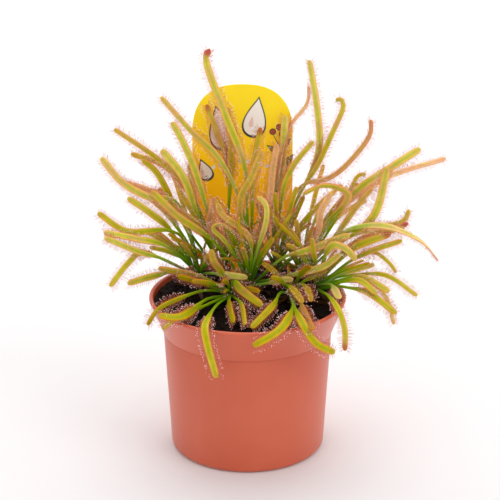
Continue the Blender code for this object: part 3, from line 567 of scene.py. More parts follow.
@dataclass(frozen=True)
class TentacleFlesh:
    """Glandular tentacles: translucent stalks, amber at the foot and coral above, with red glands."""
    foot: str = "#E6AA5C"
    stalk: str = "#CE6A5C"
    neck: str = "#CA5E64"
    gland: str = "#BE4254"

    def build(self) -> bpy.types.Material:
        """Build the tentacles' material, which reads the attributes reach and tone.

        Returns:
            The material.
        """
        made, tree, shader = new_material("tentacle_flesh")
        reach, tone = (add_node(tree, "Attribute", output="Fac", attribute_name=name)
                       for name in ("reach", "tone"))
        colour = add_node(tree, "ValToRGB", {"Fac": reach}, stops=((0.05, self.foot), (0.5, self.stalk),
                                                                   (0.8, self.neck), (0.98, self.gland)))
        plug(shader, {"Base Color": add_node(tree, "HueSaturation", {"Color": colour, "Value": tone}),
                      "Roughness": 0.35, "Specular IOR Level": 0.3, "Subsurface Weight": 0.3,
                      "Subsurface Radius": (1.0, 0.4, 0.35), "Subsurface Scale": 0.0006})
        return made


@dataclass(frozen=True)
class Mucilage:
    """A sundew's dew: a sticky drop, so small that it reads as one pale pink glint.

    Its faint glow stands for the lights' reflections, which are too small to be sampled.
    """
    tint: str = "#FFD8CE"

    def build(self) -> bpy.types.Material:
        """Build the dew's material.

        Returns:
            The material.
        """
        made, _, shader = new_material("mucilage_dew")
        plug(shader, {"Base Color": self.tint, "Roughness": 0.12, "Emission Color": self.tint,
                      "Emission Strength": 0.22, "Subsurface Weight": 0.5,
                      "Subsurface Radius": (1.0, 0.6, 0.6), "Subsurface Scale": 0.0004,
                      "Coat Weight": 0.5, "Coat Roughness": 0.03})
        return made


@dataclass(frozen=True)
class PrintedCard:
    """Offset-printed polypropylene sheet: smooth, satin, yellow at the top and orange at the foot."""
    top: str = "#FFCA2C"
    middle: str = "#FFB81C"
    foot: str = "#FFA012"

    def build(self) -> bpy.types.Material:
        """Build the label's printed front.

        Returns:
            The material.
        """
        made, tree, shader = new_material("printed_card")
        place = add_node(tree, "TexCoord", output="Object")
        height = add_node(tree, "MapRange", {"Value": add_node(tree, "SeparateXYZ", {"Vector": place}, "Z"),
                                             "From Min": LABEL_SHOULDER_Z * MM, "From Max": LABEL_TOP * MM})
        sheet = add_node(tree, "TexNoise", {"Scale": 90.0, "Detail": 2.0, "Vector": place})
        plug(shader, {
            "Base Color": add_node(tree, "ValToRGB", {"Fac": height},
                                   stops=((0.0, self.foot), (0.45, self.middle), (0.85, self.top))),
            "Roughness": add_node(tree, "MapRange", {"Value": sheet, "To Min": 0.3, "To Max": 0.42}),
            "Normal": add_node(tree, "Bump", {"Strength": 0.06, "Distance": 0.0003, "Height": sheet}),
            "Specular IOR Level": 0.12, "Subsurface Weight": 1.0, "Subsurface Radius": (1.0, 1.0, 0.5),
            "Subsurface Scale": 0.003})
        return made


@dataclass(frozen=True)
class PlainSheet:
    """Unprinted white polypropylene sheet, the label's back and cut edge, with a trace of handling."""
    white: str = "#F3EFE4"
    handled: str = "#E9E4D8"

    def build(self) -> bpy.types.Material:
        """Build the label's back.

        Returns:
            The material.
        """
        made, tree, shader = new_material("plain_sheet")
        place = add_node(tree, "TexCoord", output="Object")
        marks = add_node(tree, "TexNoise", {"Scale": 45.0, "Detail": 5.0, "Vector": place})
        plug(shader, {"Roughness": 0.45, "Base Color": add_node(
            tree, "ValToRGB", {"Fac": marks}, stops=((0.45, self.white), (0.85, self.handled)))})
        return made


@dataclass(frozen=True)
class PrintInk:
    """One flat ink on the label, a little duller than the sheet, with a litho plate's faint mottle."""
    ink: Ink

    def build(self) -> bpy.types.Material:
        """Build the ink's material.

        Returns:
            The material.
        """
        made, tree, shader = new_material("ink_" + self.ink.name.lower())
        place = add_node(tree, "TexCoord", output="Object")
        mottle = add_node(tree, "TexNoise", {"Scale": 900.0, "Detail": 2.0, "Vector": place})
        value = add_node(tree, "MapRange", {"Value": mottle, "To Min": 0.93, "To Max": 1.05})
        plug(shader, {"Roughness": 0.5, "Base Color": add_node(
            tree, "HueSaturation", {"Color": self.ink.value, "Value": value})})
        return made


@dataclass(frozen=True)
class StudioPaper:
    """The studio's seamless white paper: matt, with hardly a sheen."""
    white: str = "#EEEDEE"

    def build(self) -> bpy.types.Material:
        """Build the paper's material.

        Returns:
            The material.
        """
        made, _, shader = new_material("studio_paper")
        plug(shader, {"Base Color": self.white, "Roughness": 0.9, "Specular IOR Level": 0.1})
        return made


def deselect_all() -> None:
    """Leave object mode with nothing selected."""
    if bpy.context.object and bpy.context.object.mode != "OBJECT":
        bpy.ops.object.mode_set(mode="OBJECT")
    bpy.ops.object.select_all(action="DESELECT")


def activate(target: bpy.types.Object) -> None:
    """Select one object alone and make it active.

    Args:
        target: the object.
    """
    deselect_all()
    target.select_set(True)
    bpy.context.view_layer.objects.active = target


def settle(target: bpy.types.Object) -> None:
    """Put an object's place, turn and scale into its mesh."""
    activate(target)
    bpy.ops.object.transform_apply(location=True, rotation=True, scale=True)


def extrude(height: float) -> None:
    """Extrude what is selected in edit mode upward."""
    bpy.ops.mesh.extrude_region_move(TRANSFORM_OT_translate={"value": (0, 0, height)})


@contextmanager
def editing(target: bpy.types.Object, faced: bool = True) -> Iterator[None]:
    """Edit an object's mesh, with all of it selected at first.

    Args:
        target: the object.
        faced: whether its faces are turned outward afterwards.

    Yields:
        While the mesh is in edit mode.
    """
    activate(target)
    bpy.ops.object.mode_set(mode="EDIT")
    bpy.ops.mesh.select_all(action="SELECT")
    yield
    bpy.ops.mesh.select_all(action="SELECT")
    if faced:
        bpy.ops.mesh.normals_make_consistent(inside=False)
    bpy.ops.object.mode_set(mode="OBJECT")


def placed(name: str, data: bpy.types.ID) -> bpy.types.Object:
    """Put a new object with the given data into the scene.

    Args:
        name: the object's name.
        data: its mesh, curve, light or camera.

    Returns:
        The object.
    """
    made = bpy.data.objects.new(name, data)
    bpy.context.scene.collection.objects.link(made)
    return made


def apply_modifiers(target: bpy.types.Object) -> None:
    """Apply all of an object's modifiers.

    Args:
        target: the object.
    """
    activate(target)
    for modifier in list(target.modifiers):
        bpy.ops.object.modifier_apply(modifier=modifier.name)


def report(piece: bpy.types.Object, slot: str, *nodes: str) -> None:
    """Hand a finished piece to the frame.

    Args:
        piece: the finished object.
        slot: the record's material slot. It is not used.
        nodes: the solids that the piece stands for.
    """
    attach(piece, ROOT_BODY)
    if nodes:
        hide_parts(*nodes)
    LOG.info("%s: %d faces, stands for %s", piece.name, len(piece.data.polygons),
             ", ".join(nodes) or "no solid")


@dataclass
class Shape:
    """Points and faces of a small shape that is modelled once and then laid out many times."""
    points: np.ndarray
    faces: list[tuple[int, ...]]


def taken(made: bpy.types.Object) -> Shape:
    """Read a modelled object's points and faces, and remove the object.

    Args:
        made: the object.

    Returns:
        Its shape.
    """
    points = np.array([tuple(vertex.co) for vertex in made.data.vertices])
    faces = [tuple(face.vertices) for face in made.data.polygons]
    bpy.data.objects.remove(made, do_unlink=True)
    return Shape(points, faces)


def model_once(add: Callable[[], None], cuts: Iterable[float] = ()) -> Shape:
    """Model a small shape with operators and read it.

    Args:
        add: makes the primitive.
        cuts: heights at which it is cut across, so that it can bend there.

    Returns:
        The shape.
    """
    deselect_all()
    add()
    made = bpy.context.object
    with editing(made, faced=False):
        for height in cuts:
            bpy.ops.mesh.bisect(plane_co=(0, 0, height), plane_no=(0, 0, 1))
    return taken(made)


def rod(sides: int, radius: float, rings: int, step: float, swells: Sequence[float] = (1.0,)) -> Shape:
    """Model a closed rod that stands on the origin: a disc, extruded ring by ring.

    Args:
        sides: how many sides it has.
        radius: the disc's radius.
        rings: how many rings are extruded.
        step: how far each rises.
        swells: how much wider each ring is than the one before, in turn.

    Returns:
        The rod.
    """
    deselect_all()
    bpy.ops.mesh.primitive_circle_add(vertices=sides, radius=radius, fill_type="NGON")
    made = bpy.context.object
    with editing(made):
        for ring in range(rings):
            extrude(step)
            swell = swells[ring % len(swells)]
            if swell != 1.0:
                bpy.ops.transform.resize(value=(swell, swell, 1.0), center_override=(0.0, 0.0, 0.0))
    return taken(made)


@dataclass
class Heap:
    """Many small shapes gathered into one mesh, with a value for each point in named attributes."""
    name: str
    points: list[np.ndarray] = field(default_factory=list)
    faces: list[np.ndarray] = field(default_factory=list)
    sizes: list[np.ndarray] = field(default_factory=list)
    attributes: dict[str, list[np.ndarray]] = field(default_factory=dict)
    count: int = 0

    def add(self, points: np.ndarray, faces: Sequence[tuple[int, ...]], **attributes: np.ndarray) -> None:
        """Add copies of a shape.

        Args:
            points: the copies' points, shaped (copies, points in each, 3), in millimetres.
            faces: the shape's faces, as numbers of its points.
            attributes: a value for each point of each copy, by name.
        """
        copies, each = points.shape[:2]
        starts = self.count + each * np.arange(copies)
        for size in sorted({len(face) for face in faces}):
            row = np.array([face for face in faces if len(face) == size])
            numbers = (row[None] + starts[:, None, None]).reshape(-1)
            self.faces.append(numbers)
            self.sizes.append(np.full(copies * len(row), size))
        self.points.append(points.reshape(-1, 3) * MM)
        for name, values in attributes.items():
            spread = np.broadcast_to(values, (copies, each)).reshape(-1)
            self.attributes.setdefault(name, []).append(spread)
        self.count += copies * each

    def build(self, material: bpy.types.Material, smooth: bool = True) -> bpy.types.Object:
        """Make the one mesh.

        Args:
            material: its material.
            smooth: whether it is shaded smooth.

        Returns:
            The object.
        """
        places = np.concatenate(self.points)
        corners = np.concatenate(self.faces)
        sizes = np.concatenate(self.sizes)
        mesh = bpy.data.meshes.new(self.name)
        mesh.vertices.add(len(places))
        mesh.vertices.foreach_set("co", places.astype(np.float32).ravel())
        mesh.loops.add(len(corners))
        mesh.loops.foreach_set("vertex_index", corners.astype(np.int32))
        mesh.polygons.add(len(sizes))
        mesh.polygons.foreach_set("loop_start", (np.cumsum(sizes) - sizes).astype(np.int32))
        mesh.polygons.foreach_set("use_smooth", np.full(len(sizes), smooth))
        mesh.update(calc_edges=True)
        mesh.validate()
        for name, rows in self.attributes.items():
            layer = mesh.attributes.new(name, "FLOAT", "POINT")
            layer.data.foreach_set("value", np.concatenate(rows).astype(np.float32))
        mesh.materials.append(material)
        return placed(self.name, mesh)


def polar(radius: float, turn: float) -> tuple[float, float]:
    """Give the place at a radius and a turn in radians."""
    return radius * math.cos(turn), radius * math.sin(turn)


def resample(path: np.ndarray, count: int) -> np.ndarray:
    """Give evenly spaced places along a path of points.

    Args:
        path: the path's points.
        count: how many places.

    Returns:
        The places.
    """
    run = np.concatenate([[0.0], np.cumsum(np.linalg.norm(np.diff(path, axis=0), axis=1))])
    wanted = np.linspace(0.0, run[-1], count)
    return np.stack([np.interp(wanted, run, path[:, k]) for k in range(3)], axis=1)


def spline(points: Sequence[Sequence[float]] | np.ndarray, count: int) -> np.ndarray:
    """Pass a smooth curve through points.

    Args:
        points: the points.
        count: how many evenly spaced places to give along it.

    Returns:
        The places.
    """
    knots = np.array(points, float)
    ends = np.vstack([2 * knots[0] - knots[1], knots, 2 * knots[-1] - knots[-2]])
    fine = []
    for a, b, c, d in zip(ends, ends[1:], ends[2:], ends[3:]):
        for u in np.linspace(0.0, 1.0, 16, endpoint=False):
            fine.append(0.5 * (2 * b + (c - a) * u + (2 * a - 5 * b + 4 * c - d) * u ** 2
                               + (3 * b - a - 3 * c + d) * u ** 3))
    fine.append(knots[-1])
    return resample(np.array(fine), count)


def eased(share: np.ndarray, start: float, span: float) -> np.ndarray:
    """Give a smooth step from 0 to 1 over a span of shares."""
    step = np.clip((share - start) / span, 0.0, 1.0)
    return step * step * (3.0 - 2.0 * step)


def tapered(share: np.ndarray) -> np.ndarray:
    """Give how far a leaf has narrowed towards its tip at shares of its length."""
    return 1.0 - BLADE_TAPER * np.maximum(share - TAPER_START, 0.0) / TAPER_SPAN


def blade_width(share: np.ndarray, width: float) -> np.ndarray:
    """Give a solid leaf's width at shares of its length, for a blade of the given full width."""
    flare = np.clip((share - BLADE_START) / BLADE_FLARE, 0.0, 1.0)
    return (PETIOLE_WIDTH + (width - PETIOLE_WIDTH) * flare) * tapered(share)


def square_to(direction: np.ndarray, axis: np.ndarray) -> np.ndarray:
    """Turn a direction, or rows of them, square to a unit axis, or rows of them, and make it a unit too."""
    flat = direction - axis * (direction * axis).sum(axis=-1, keepdims=True)
    return flat / np.linalg.norm(flat, axis=-1, keepdims=True)


def arc_leaves(crown: tuple[float, float, float], arcs: tuple[Arc, ...], draw: random.Random,
               widths: tuple[float, float] = (2.9, 3.9)) -> list[Leaf]:
    """Set leaves round a crown by rule, each a smooth arch.

    Args:
        crown: the plant's crown.
        arcs: the rules.
        draw: the seeded draw.
        widths: the least and the greatest width of a blade.

    Returns:
        The leaves.
    """
    leaves = []
    steps = 4
    for rule in arcs:
        for i in range(rule.count):
            compass = math.radians(rule.start + rule.sweep * (i + draw.uniform(0.3, 0.7)) / rule.count)
            length = draw.uniform(*rule.length)
            rise, droop = (math.radians(draw.uniform(*limits)) for limits in (rule.rise, rule.droop))
            place = Vector(crown)
            route = []
            for step in range(steps):
                slope = rise + (droop - rise) * (step + 0.5) / steps
                ahead = Vector((math.cos(compass) * math.cos(slope), math.sin(compass) * math.cos(slope),
                                math.sin(slope)))
                place = place + ahead * (length / steps)
                route.append(tuple(place))
            facing = Facing.BACK if math.sin(compass) < BACKWARD else Facing.FRONT
            leaves.append(Leaf(draw.uniform(*widths), tuple(route), facing, painted_lightness=INNER_PAINTED_SHADE))
    return leaves


@dataclass
class LeafField:
    """All the leaves' paths: set from the plans, then bent clear of each other and of the other pieces."""
    plans: dict[str, Plan]
    seed: int = ROUTE_SEED

    @staticmethod
    def root_place(crown: tuple[float, float, float], number: int) -> tuple[float, float, float]:
        """Give the place where a leaf starts inside its stem, in the spiral that the leaves grow in."""
        x, y = polar(ROOT_REACH, math.radians(ROOT_TURN) * number)
        return crown[0] + x, crown[1] + y, crown[2] - ROOT_STEP * (number % ROOT_CYCLE)

    @staticmethod
    def pot_push(points: np.ndarray, lift: np.ndarray) -> np.ndarray:
        """Give the push that keeps points off the soil, over the rim and outside the pot's wall.

        Args:
            points: the points.
            lift: how much higher each passes than the lowest leaf.

        Returns:
            The push for each point.
        """
        push = np.zeros_like(points)
        reach = np.hypot(points[:, 0], points[:, 1])
        outward = points[:, :2] / np.maximum(reach, 1.0)[:, None]
        over_soil = reach < RIM_RADIUS - RIM_INSIDE
        over_rim = ~over_soil & (reach < RIM_RADIUS + RIM_OUTSIDE)
        floor = np.where(over_soil, SOIL_TOP + SOIL_CLEARANCE, POT_HEIGHT + RIM_CLEARANCE)
        push[:, 2] = np.where(over_soil | over_rim, np.maximum(floor + lift - points[:, 2], 0.0), 0.0)
        outside = (reach >= RIM_RADIUS + RIM_OUTSIDE) & (points[:, 2] < POT_HEIGHT + RIM_CLEARANCE)
        short = np.where(outside, np.maximum(RIM_RADIUS + RIM_CLEARANCE - reach, 0.0), 0.0)
        push[:, :2] += outward * short[:, None]
        return push

    @staticmethod
    def before_label(route: Iterable[tuple[float, float, float]]) -> list[tuple[float, float, float]]:
        """Keep a young leaf's route in front of the label where it would pass behind it.

        Args:
            route: the leaf's route, after its root.

        Returns:
            The route that it grows along.
        """
        limit = LABEL_Y - YOUNG_LABEL_CLEARANCE
        points = list(route)
        if any(abs(x - LABEL_X) < LABEL_WIDTH / 2 + LABEL_MARGIN and y > limit for x, y, _ in points):
            return [(x, min(y, limit), z) for x, y, z in points]
        return points

    @staticmethod
    def label_push(points: np.ndarray) -> np.ndarray:
        """Give the push that keeps points in front of the label, or behind it where they are well behind.

        Args:
            points: the points.

        Returns:
            The push for each point.
        """
        push = np.zeros_like(points)
        width = np.where(points[:, 2] > LABEL_NECK_Z - NECK_MARGIN, LABEL_WIDTH, STAKE_WIDTH)
        beside = np.abs(points[:, 0] - LABEL_X) < width / 2 + LABEL_MARGIN
        near = beside & (points[:, 2] < LABEL_TOP + LABEL_MARGIN)
        front = near & (points[:, 1] < LABEL_Y + LABEL_BEHIND)
        push[front, 1] = np.minimum(LABEL_Y - LABEL_CLEARANCE - points[front, 1], 0.0)
        behind = near & ~front
        push[behind, 1] = np.maximum(LABEL_Y + LABEL_CLEARANCE - points[behind, 1], 0.0)
        return push

    def cleared(self, paths: np.ndarray, owners: np.ndarray, halves: np.ndarray,
                crowns: list[tuple[float, float, float]]) -> np.ndarray:
        """Bend the leaves of different plants apart by repeated small pushes.

        Args:
            paths: the leaves' paths, shaped (leaves, points, 3).
            owners: each leaf's plant, as a number.
            halves: half the leaf's width at each point.
            crowns: the plants' crowns.

        Returns:
            The paths, bent clear.
        """
        count, steps = paths.shape[:2]
        posts = np.array([(x, y, z, k) for k, (x, y, top) in enumerate(crowns)
                          for z in np.arange(SOIL_TOP, top + POST_STEP, POST_STEP)])
        owner = np.concatenate([np.repeat(owners, steps), posts[:, 3]])
        size = np.concatenate([halves.ravel(), np.full(len(posts), STEM_RADIUS + POST_MARGIN)])
        need = size[:, None] + size[None] + CLEARANCE
        near = np.where(owner[:, None] != owner[None], need ** 2, 0.0)
        hold = np.clip(np.linspace(0.0, 1.0, steps) / HELD_SHARE, 0.0, 1.0)
        weights = np.tile(hold, count)
        lift = np.repeat(LIFT_STEP * (np.arange(count) % LIFT_CYCLE), steps)
        shift = np.zeros_like(paths)
        for _ in range(CLEAR_ROUNDS):
            points = np.vstack([(paths + shift).reshape(-1, 3), posts[:, :3]])
            square = (points ** 2).sum(axis=1)
            apart2 = square[:, None] + square[None] - 2 * points @ points.T
            first, second = np.nonzero(apart2 < near)
            apart = points[first] - points[second]
            distance = np.maximum(np.linalg.norm(apart, axis=1), LEAST)
            aim = apart * (SIDEWAYS, 1.0, SIDEWAYS)
            aim /= np.maximum(np.linalg.norm(aim, axis=1), LEAST)[:, None]
            short = need[first, second] - distance
            push = np.zeros_like(points)
            np.add.at(push, first, aim * (PUSH * short)[:, None])
            moved = points[:count * steps] + push[:count * steps] * weights[:, None]
            moved += (self.pot_push(moved, lift) + self.label_push(moved)) * weights[:, None]
            shift = moved.reshape(count, steps, 3) - paths
            bend = shift[:, :-2] + shift[:, 2:] - 2 * shift[:, 1:-1]
            shift[:, 1:-1] += EASE * bend * hold[1:-1, None]
        return paths + shift

    def grow(self) -> dict[str, list[tuple[Leaf, np.ndarray]]]:
        """Give each plant's leaves with their cleared paths.

        Returns:
            Each plant's leaves, with the path of each, by the plant's name.
        """
        draw = random.Random(self.seed)
        crowns = [plan.crown for plan in self.plans.values()]
        owners, leaves = zip(*((k, leaf) for k, plan in enumerate(self.plans.values())
                               for leaf in (*plan.leaves, *arc_leaves(plan.crown, plan.arcs, draw))))
        paths = np.array([spline([self.root_place(crowns[k], number), *leaf.route], PATH_POINTS)
                          for number, (k, leaf) in enumerate(zip(owners, leaves))])
        shares = np.linspace(0.0, 1.0, PATH_POINTS)
        halves = np.array([blade_width(shares, leaf.width) / 2 for leaf in leaves])
        paths = self.cleared(paths, np.array(owners), halves, crowns)
        return {name: [(leaf, path) for leaf, path, owner in zip(leaves, paths, owners) if owner == k]
                for k, name in enumerate(self.plans)}


@dataclass
class LeafForm:
    """One leaf's form along its path: where it is, which way it runs, and how wide it is."""
    leaf: Leaf
    path: np.ndarray
    ahead: np.ndarray = field(init=False)
    backs: np.ndarray = field(init=False)
    length: float = field(init=False)
    drift: float = 0.0           # a chance turn of the blade, in degrees

    def __post_init__(self) -> None:
        """Carry the direction that the back faces along the leaf without twist."""
        self.ahead = np.gradient(self.path, axis=0)
        self.ahead /= np.linalg.norm(self.ahead, axis=1)[:, None]
        facing = np.array(VIEWER) * self.leaf.facing.value
        middle = int(len(self.path) * FACED_SHARE)
        self.backs = np.zeros_like(self.path)
        self.backs[middle] = square_to(facing, self.ahead[middle])
        for way, end in ((1, len(self.path)), (-1, -1)):
            for i in range(middle + way, end, way):
                self.backs[i] = square_to(self.backs[i - way], self.ahead[i])
        self.path = spline(self.path, 3 * len(self.path))
        self.length = float(np.linalg.norm(np.diff(self.path, axis=0), axis=1).sum())

    @staticmethod
    def read(rows: np.ndarray, shares: np.ndarray) -> np.ndarray:
        """Read rows of vectors at shares of the leaf's length."""
        steps = np.linspace(0.0, 1.0, len(rows))
        return np.stack([np.interp(shares, steps, rows[:, k]) for k in range(3)], axis=1)

    def at(self, shares: np.ndarray) -> tuple[np.ndarray, np.ndarray, np.ndarray, np.ndarray]:
        """Give the leaf's frame at shares of its length.

        Args:
            shares: the shares.

        Returns:
            Places, and the directions ahead, to the back and across.
        """
        ahead = self.read(self.ahead, shares)
        ahead /= np.linalg.norm(ahead, axis=1)[:, None]
        back = square_to(self.read(self.backs, shares), ahead)
        across = np.cross(back, ahead)
        turn = np.radians(np.interp(shares, (BLADE_START, 1.0), self.leaf.turns) + self.drift)
        turn *= self.flatness(shares)
        cos, sin = np.cos(turn)[:, None], np.sin(turn)[:, None]
        return self.read(self.path, shares), ahead, back * cos + across * sin, across * cos - back * sin

    def half_width(self, shares: np.ndarray) -> np.ndarray:
        """Give half the width at shares of the length: a long flare from stalk to blade, and a round tip.

        Args:
            shares: the shares.

        Returns:
            Half the width at each of them.
        """
        stalk = PETIOLE_WIDTH / 2 - STALK_TRIM
        half = (stalk + (self.leaf.width / 2 - stalk) * self.flatness(shares)) * tapered(shares)
        from_tip = np.clip((1.0 - shares) * self.length / (ROUND_TIP * self.leaf.width), 0.0, 1.0)
        return half * np.sqrt(np.maximum(1.0 - (1.0 - from_tip) ** 2, POINT ** 2))

    def flatness(self, shares: np.ndarray) -> np.ndarray:
        """Give how far the leaf has gone over from round stalk to flat blade."""
        return eased(shares, WIDEN_START - self.leaf.early, WIDEN_SPAN - EARLY_SPAN * self.leaf.early)


@dataclass
class Sundew:
    """One plant: its stem, its leaves, the tentacles on their blades, and the dew on the tentacles."""
    name: str
    crown: tuple[float, float, float]
    forms: list[LeafForm]
    seed: int
    # painted light and shade on all of the plant's leaves, from its plan's tone
    painted_lightness: float
    young: list[LeafForm] = field(init=False)
    old: list[LeafForm] = field(init=False)
    draw: np.random.Generator = field(init=False)
    young_width: tuple[float, float] = (1.4, 2.4)
    young_spread: float = 4.5    # their tentacles stand this much wider apart
    inner_spread: float = 2.0    # so do those of grown leaves that others hide
    drift: float = 14.0
    old_count: int = 6
    old_length: tuple[float, float] = (12.0, 26.0)
    old_width: tuple[float, float] = (2.0, 3.0)
    old_swing: float = 0.5       # radians, either way
    old_root: float = STEM_RADIUS - 1.4
    old_limit: float = RIM_RADIUS - 8.0
    old_rest: float = 0.7        # their height over the peat, and how much more it is at the stem
    old_arch: float = 3.4
    blush_length: float = 6.5
    stem_depth: float = 5.0
    stem_sides: int = 14
    stem_rings: int = 9
    stem_swells: tuple[float, ...] = (1.16, 0.86, 0.97)    # collars of old leaf bases
    stem_tone: float = 0.8
    stem_age: float = 1.45
    leaf_sides: int = 12
    leaf_rings: int = 32
    tip_share: float = 0.3
    tip_crowding: float = 1.8
    camber: float = 0.1          # rise of a blade's middle to its back, as a share of its width
    squareness: tuple[float, float] = (0.65, 0.55)    # of a blade's section, across and through it
    tone_spread: tuple[float, float] = (0.86, 1.14)
    blush_strength: float = 1.7
    bud_knob: float = 0.7        # how much thicker a bud is, how far from the end, and its slim neck
    bud_place: float = 2.6
    bud_neck: float = 0.35
    bud_run: float = 7.0
    edge: float = 0.96           # where across a blade its marginal tentacles stand
    face_reach: float = 0.8      # how far out the others do
    onward: tuple[float, float] = (0.12, 0.2)         # their lean to the tip, its mean and spread
    splay_start: float = 0.93    # nearer the tip than this they splay forwards
    splay: float = 12.0
    margin_spacing: float = 0.44
    face_spacing: Mapping[Facing, float] = field(
        default_factory=lambda: {Facing.BACK: 0.8, Facing.FRONT: 0.55})
    margin_length: tuple[float, float] = (1.5, 3.5)
    face_length: tuple[float, float] = (0.8, 2.0)
    stalk_radius: float = 0.085
    gland_radius: float = 0.14
    dew_radius: tuple[float, float] = (0.14, 0.27)
    dew_share: float = 0.64

    def __post_init__(self) -> None:
        """Set the young leaves in the plant's middle and the dead ones at its foot."""
        self.draw = np.random.default_rng(self.seed)
        hand = random.Random(self.seed)
        self.young = []
        for number, leaf in enumerate(arc_leaves(self.crown, YOUNG[self.name], hand, self.young_width)):
            hued = replace(leaf, hue=hand.choice((Hue.LIME, Hue.LIME, Hue.OLIVE)),
                           tip=hand.choice((Tip.PLAIN, Tip.PLAIN, Tip.PLAIN, Tip.FLUSHED)))
            route = [LeafField.root_place(self.crown, number)] + LeafField.before_label(leaf.route)
            self.young.append(LeafForm(hued, spline(route, PATH_POINTS)))
        self.old = [self.fallen_leaf(360.0 * (i + hand.random()) / self.old_count,
                                     hand.uniform(*self.old_length), hand) for i in range(self.old_count)]
        for form in self.forms + self.young:
            form.drift = hand.gauss(0.0, self.drift)

    def fallen_leaf(self, compass: float, length: float, draw: random.Random) -> LeafForm:
        """Lay a dead leaf from the foot of the stem over the peat.

        Args:
            compass: the way that it lies, in degrees.
            length: how far it reaches.
            draw: the seeded draw.

        Returns:
            The leaf's form.
        """
        turn = math.radians(compass)
        swing = draw.uniform(-self.old_swing, self.old_swing)
        route = []
        for share in (0.0, 0.25, 0.5, 0.75, 1.0):
            x, y = polar(self.old_root + length * share, turn + swing * share)
            x, y = self.crown[0] + x, self.crown[1] + y
            held = min(1.0, self.old_limit / math.hypot(x, y))
            x, y = x * held, y * held
            above = self.old_arch * max(0.0, 1.0 - 2.2 * share) + self.old_rest + draw.uniform(0.0, 0.5)
            route.append((x, y, PeatBed.top(x, y) + above))
        leaf = Leaf(draw.uniform(*self.old_width), tuple(route[1:]), Facing.BACK, Hue.WITHERED)
        return LeafForm(leaf, spline(route, PATH_POINTS))

    def shape_leaves(self, material: bpy.types.Material) -> bpy.types.Object:
        """Shape every leaf from a rod, stalk nearly round and blade cambered, and the stem from another.

        Args:
            material: the leaves' material.

        Returns:
            The plant's leaves and stem as one piece.
        """
        blank = rod(self.leaf_sides, 1.0, self.leaf_rings, 1.0)
        heap = Heap("leaves_" + self.name)
        ring = blank.points[:, 2] / self.leaf_rings
        turn = np.arctan2(blank.points[:, 1], blank.points[:, 0])
        # The rings crowd together towards the round tip
        crowded = 1.0 - (1.0 - ring) ** self.tip_crowding * self.tip_share ** (1.0 - self.tip_crowding)
        shares = np.where(ring > 1.0 - self.tip_share, crowded, ring)
        low = SOIL_TOP - self.stem_depth
        step = (self.crown[2] + STEM_ABOVE - low) / self.stem_rings
        stem = rod(self.stem_sides, STEM_RADIUS - STEM_TRIM, self.stem_rings, step, self.stem_swells)
        level = np.zeros(len(stem.points))
        heap.add((stem.points + (self.crown[0], self.crown[1], low))[None], stem.faces, along=level,
                 side=level, inner=level, tone=level + self.stem_tone, age=level + self.stem_age, blush=level)
        for form in self.forms + self.young + self.old:
            place, _, back, across = form.at(shares)
            from_end = (1.0 - shares) * form.length
            bud = float(form.leaf.tip is Tip.BUD)
            knob = self.bud_knob * np.exp(-(from_end - self.bud_place) ** 2 / 3.0) * bud
            slim = 1.0 - self.bud_neck * bud * np.exp(-(from_end / self.bud_run) ** 2)
            half = form.half_width(shares) * slim + knob
            flat = form.flatness(shares)
            thick = (PETIOLE_THICKNESS + (BLADE_THICKNESS - PETIOLE_THICKNESS) * flat) / 2
            thick = np.minimum(thick - 0.5 * STALK_TRIM * (1.0 - flat), half) + knob
            side, face = (np.sign(wave) * np.abs(wave) ** (1.0 - square * flat)
                          for wave, square in zip((np.cos(turn), np.sin(turn)), self.squareness))
            lift = face * thick + flat * self.camber * half * (1.0 - side ** 2)
            points = place + across * (half * side)[:, None] + back * lift[:, None]
            # Painted light and shade: darker for the hidden leaves and the front plants, lighter for the
            # plants at the right, times a random spread
            tone = self.painted_lightness * form.leaf.painted_lightness * float(self.draw.uniform(*self.tone_spread))
            nearness = np.clip(self.blush_strength * (1.0 - from_end / self.blush_length), 0.0, 1.0)
            along = (shares + form.leaf.early * (1.0 - shares)) * form.leaf.painted_lightness
            heap.add(points[None], blank.faces, along=along, side=np.abs(side),
                     inner=np.clip(-1.6 * np.sin(turn), 0.0, 1.0), tone=np.full(len(shares), tone),
                     age=np.full(len(shares), form.leaf.hue.value), blush=nearness * form.leaf.tip.value)
        return heap.build(material)

    def tentacles(self, form: LeafForm,
                  spread: float) -> tuple[np.ndarray, np.ndarray, np.ndarray, np.ndarray]:
        """Set out one blade's tentacles, long ones at its margins and short ones on its inner face.

        Args:
            form: the leaf's form.
            spread: how much wider apart they stand than on a grown leaf.

        Returns:
            Feet, directions, lengths, and the direction that each curls to.
        """
        start = BLADE_START + 0.4 * BLADE_FLARE - form.leaf.early
        run = (1.0 - start) * form.length
        rows = []
        for side in (-1.0, 1.0):
            count = int(run / self.margin_spacing / spread)
            steps = (np.arange(count) + self.draw.random(count)) / count
            rows.append((np.clip(start + (1.0 - start) * steps, 0, 0.995), np.full(count, side * self.edge),
                         self.margin_length))
        count = int(run / self.face_spacing[form.leaf.facing] / spread)
        shares = start + (0.985 - start) * self.draw.random(count)
        rows.append((shares, self.draw.uniform(-self.face_reach, self.face_reach, count), self.face_length))
        feet, ways, lengths, curls = [], [], [], []
        for shares, across_share, span in rows:
            place, ahead, back, across = form.at(shares)
            half = form.half_width(shares)
            count = len(shares)
            edge = np.abs(across_share) > self.face_reach
            feet.append(place + across * (half * across_share)[:, None] - back * 0.1)
            outward = np.where(edge, np.sign(across_share), across_share * 0.9)
            inward = np.where(edge, self.draw.uniform(-0.1, 0.6, count), 1.0)
            onward = self.draw.normal(*self.onward, count)
            onward += np.clip(shares - self.splay_start, 0.0, 1.0) * self.splay
            way = across * outward[:, None] - back * inward[:, None] + ahead * onward[:, None]
            ways.append(way / np.linalg.norm(way, axis=1)[:, None])
            fade = np.clip((shares - start) / 0.08, 0.45, 1.0)
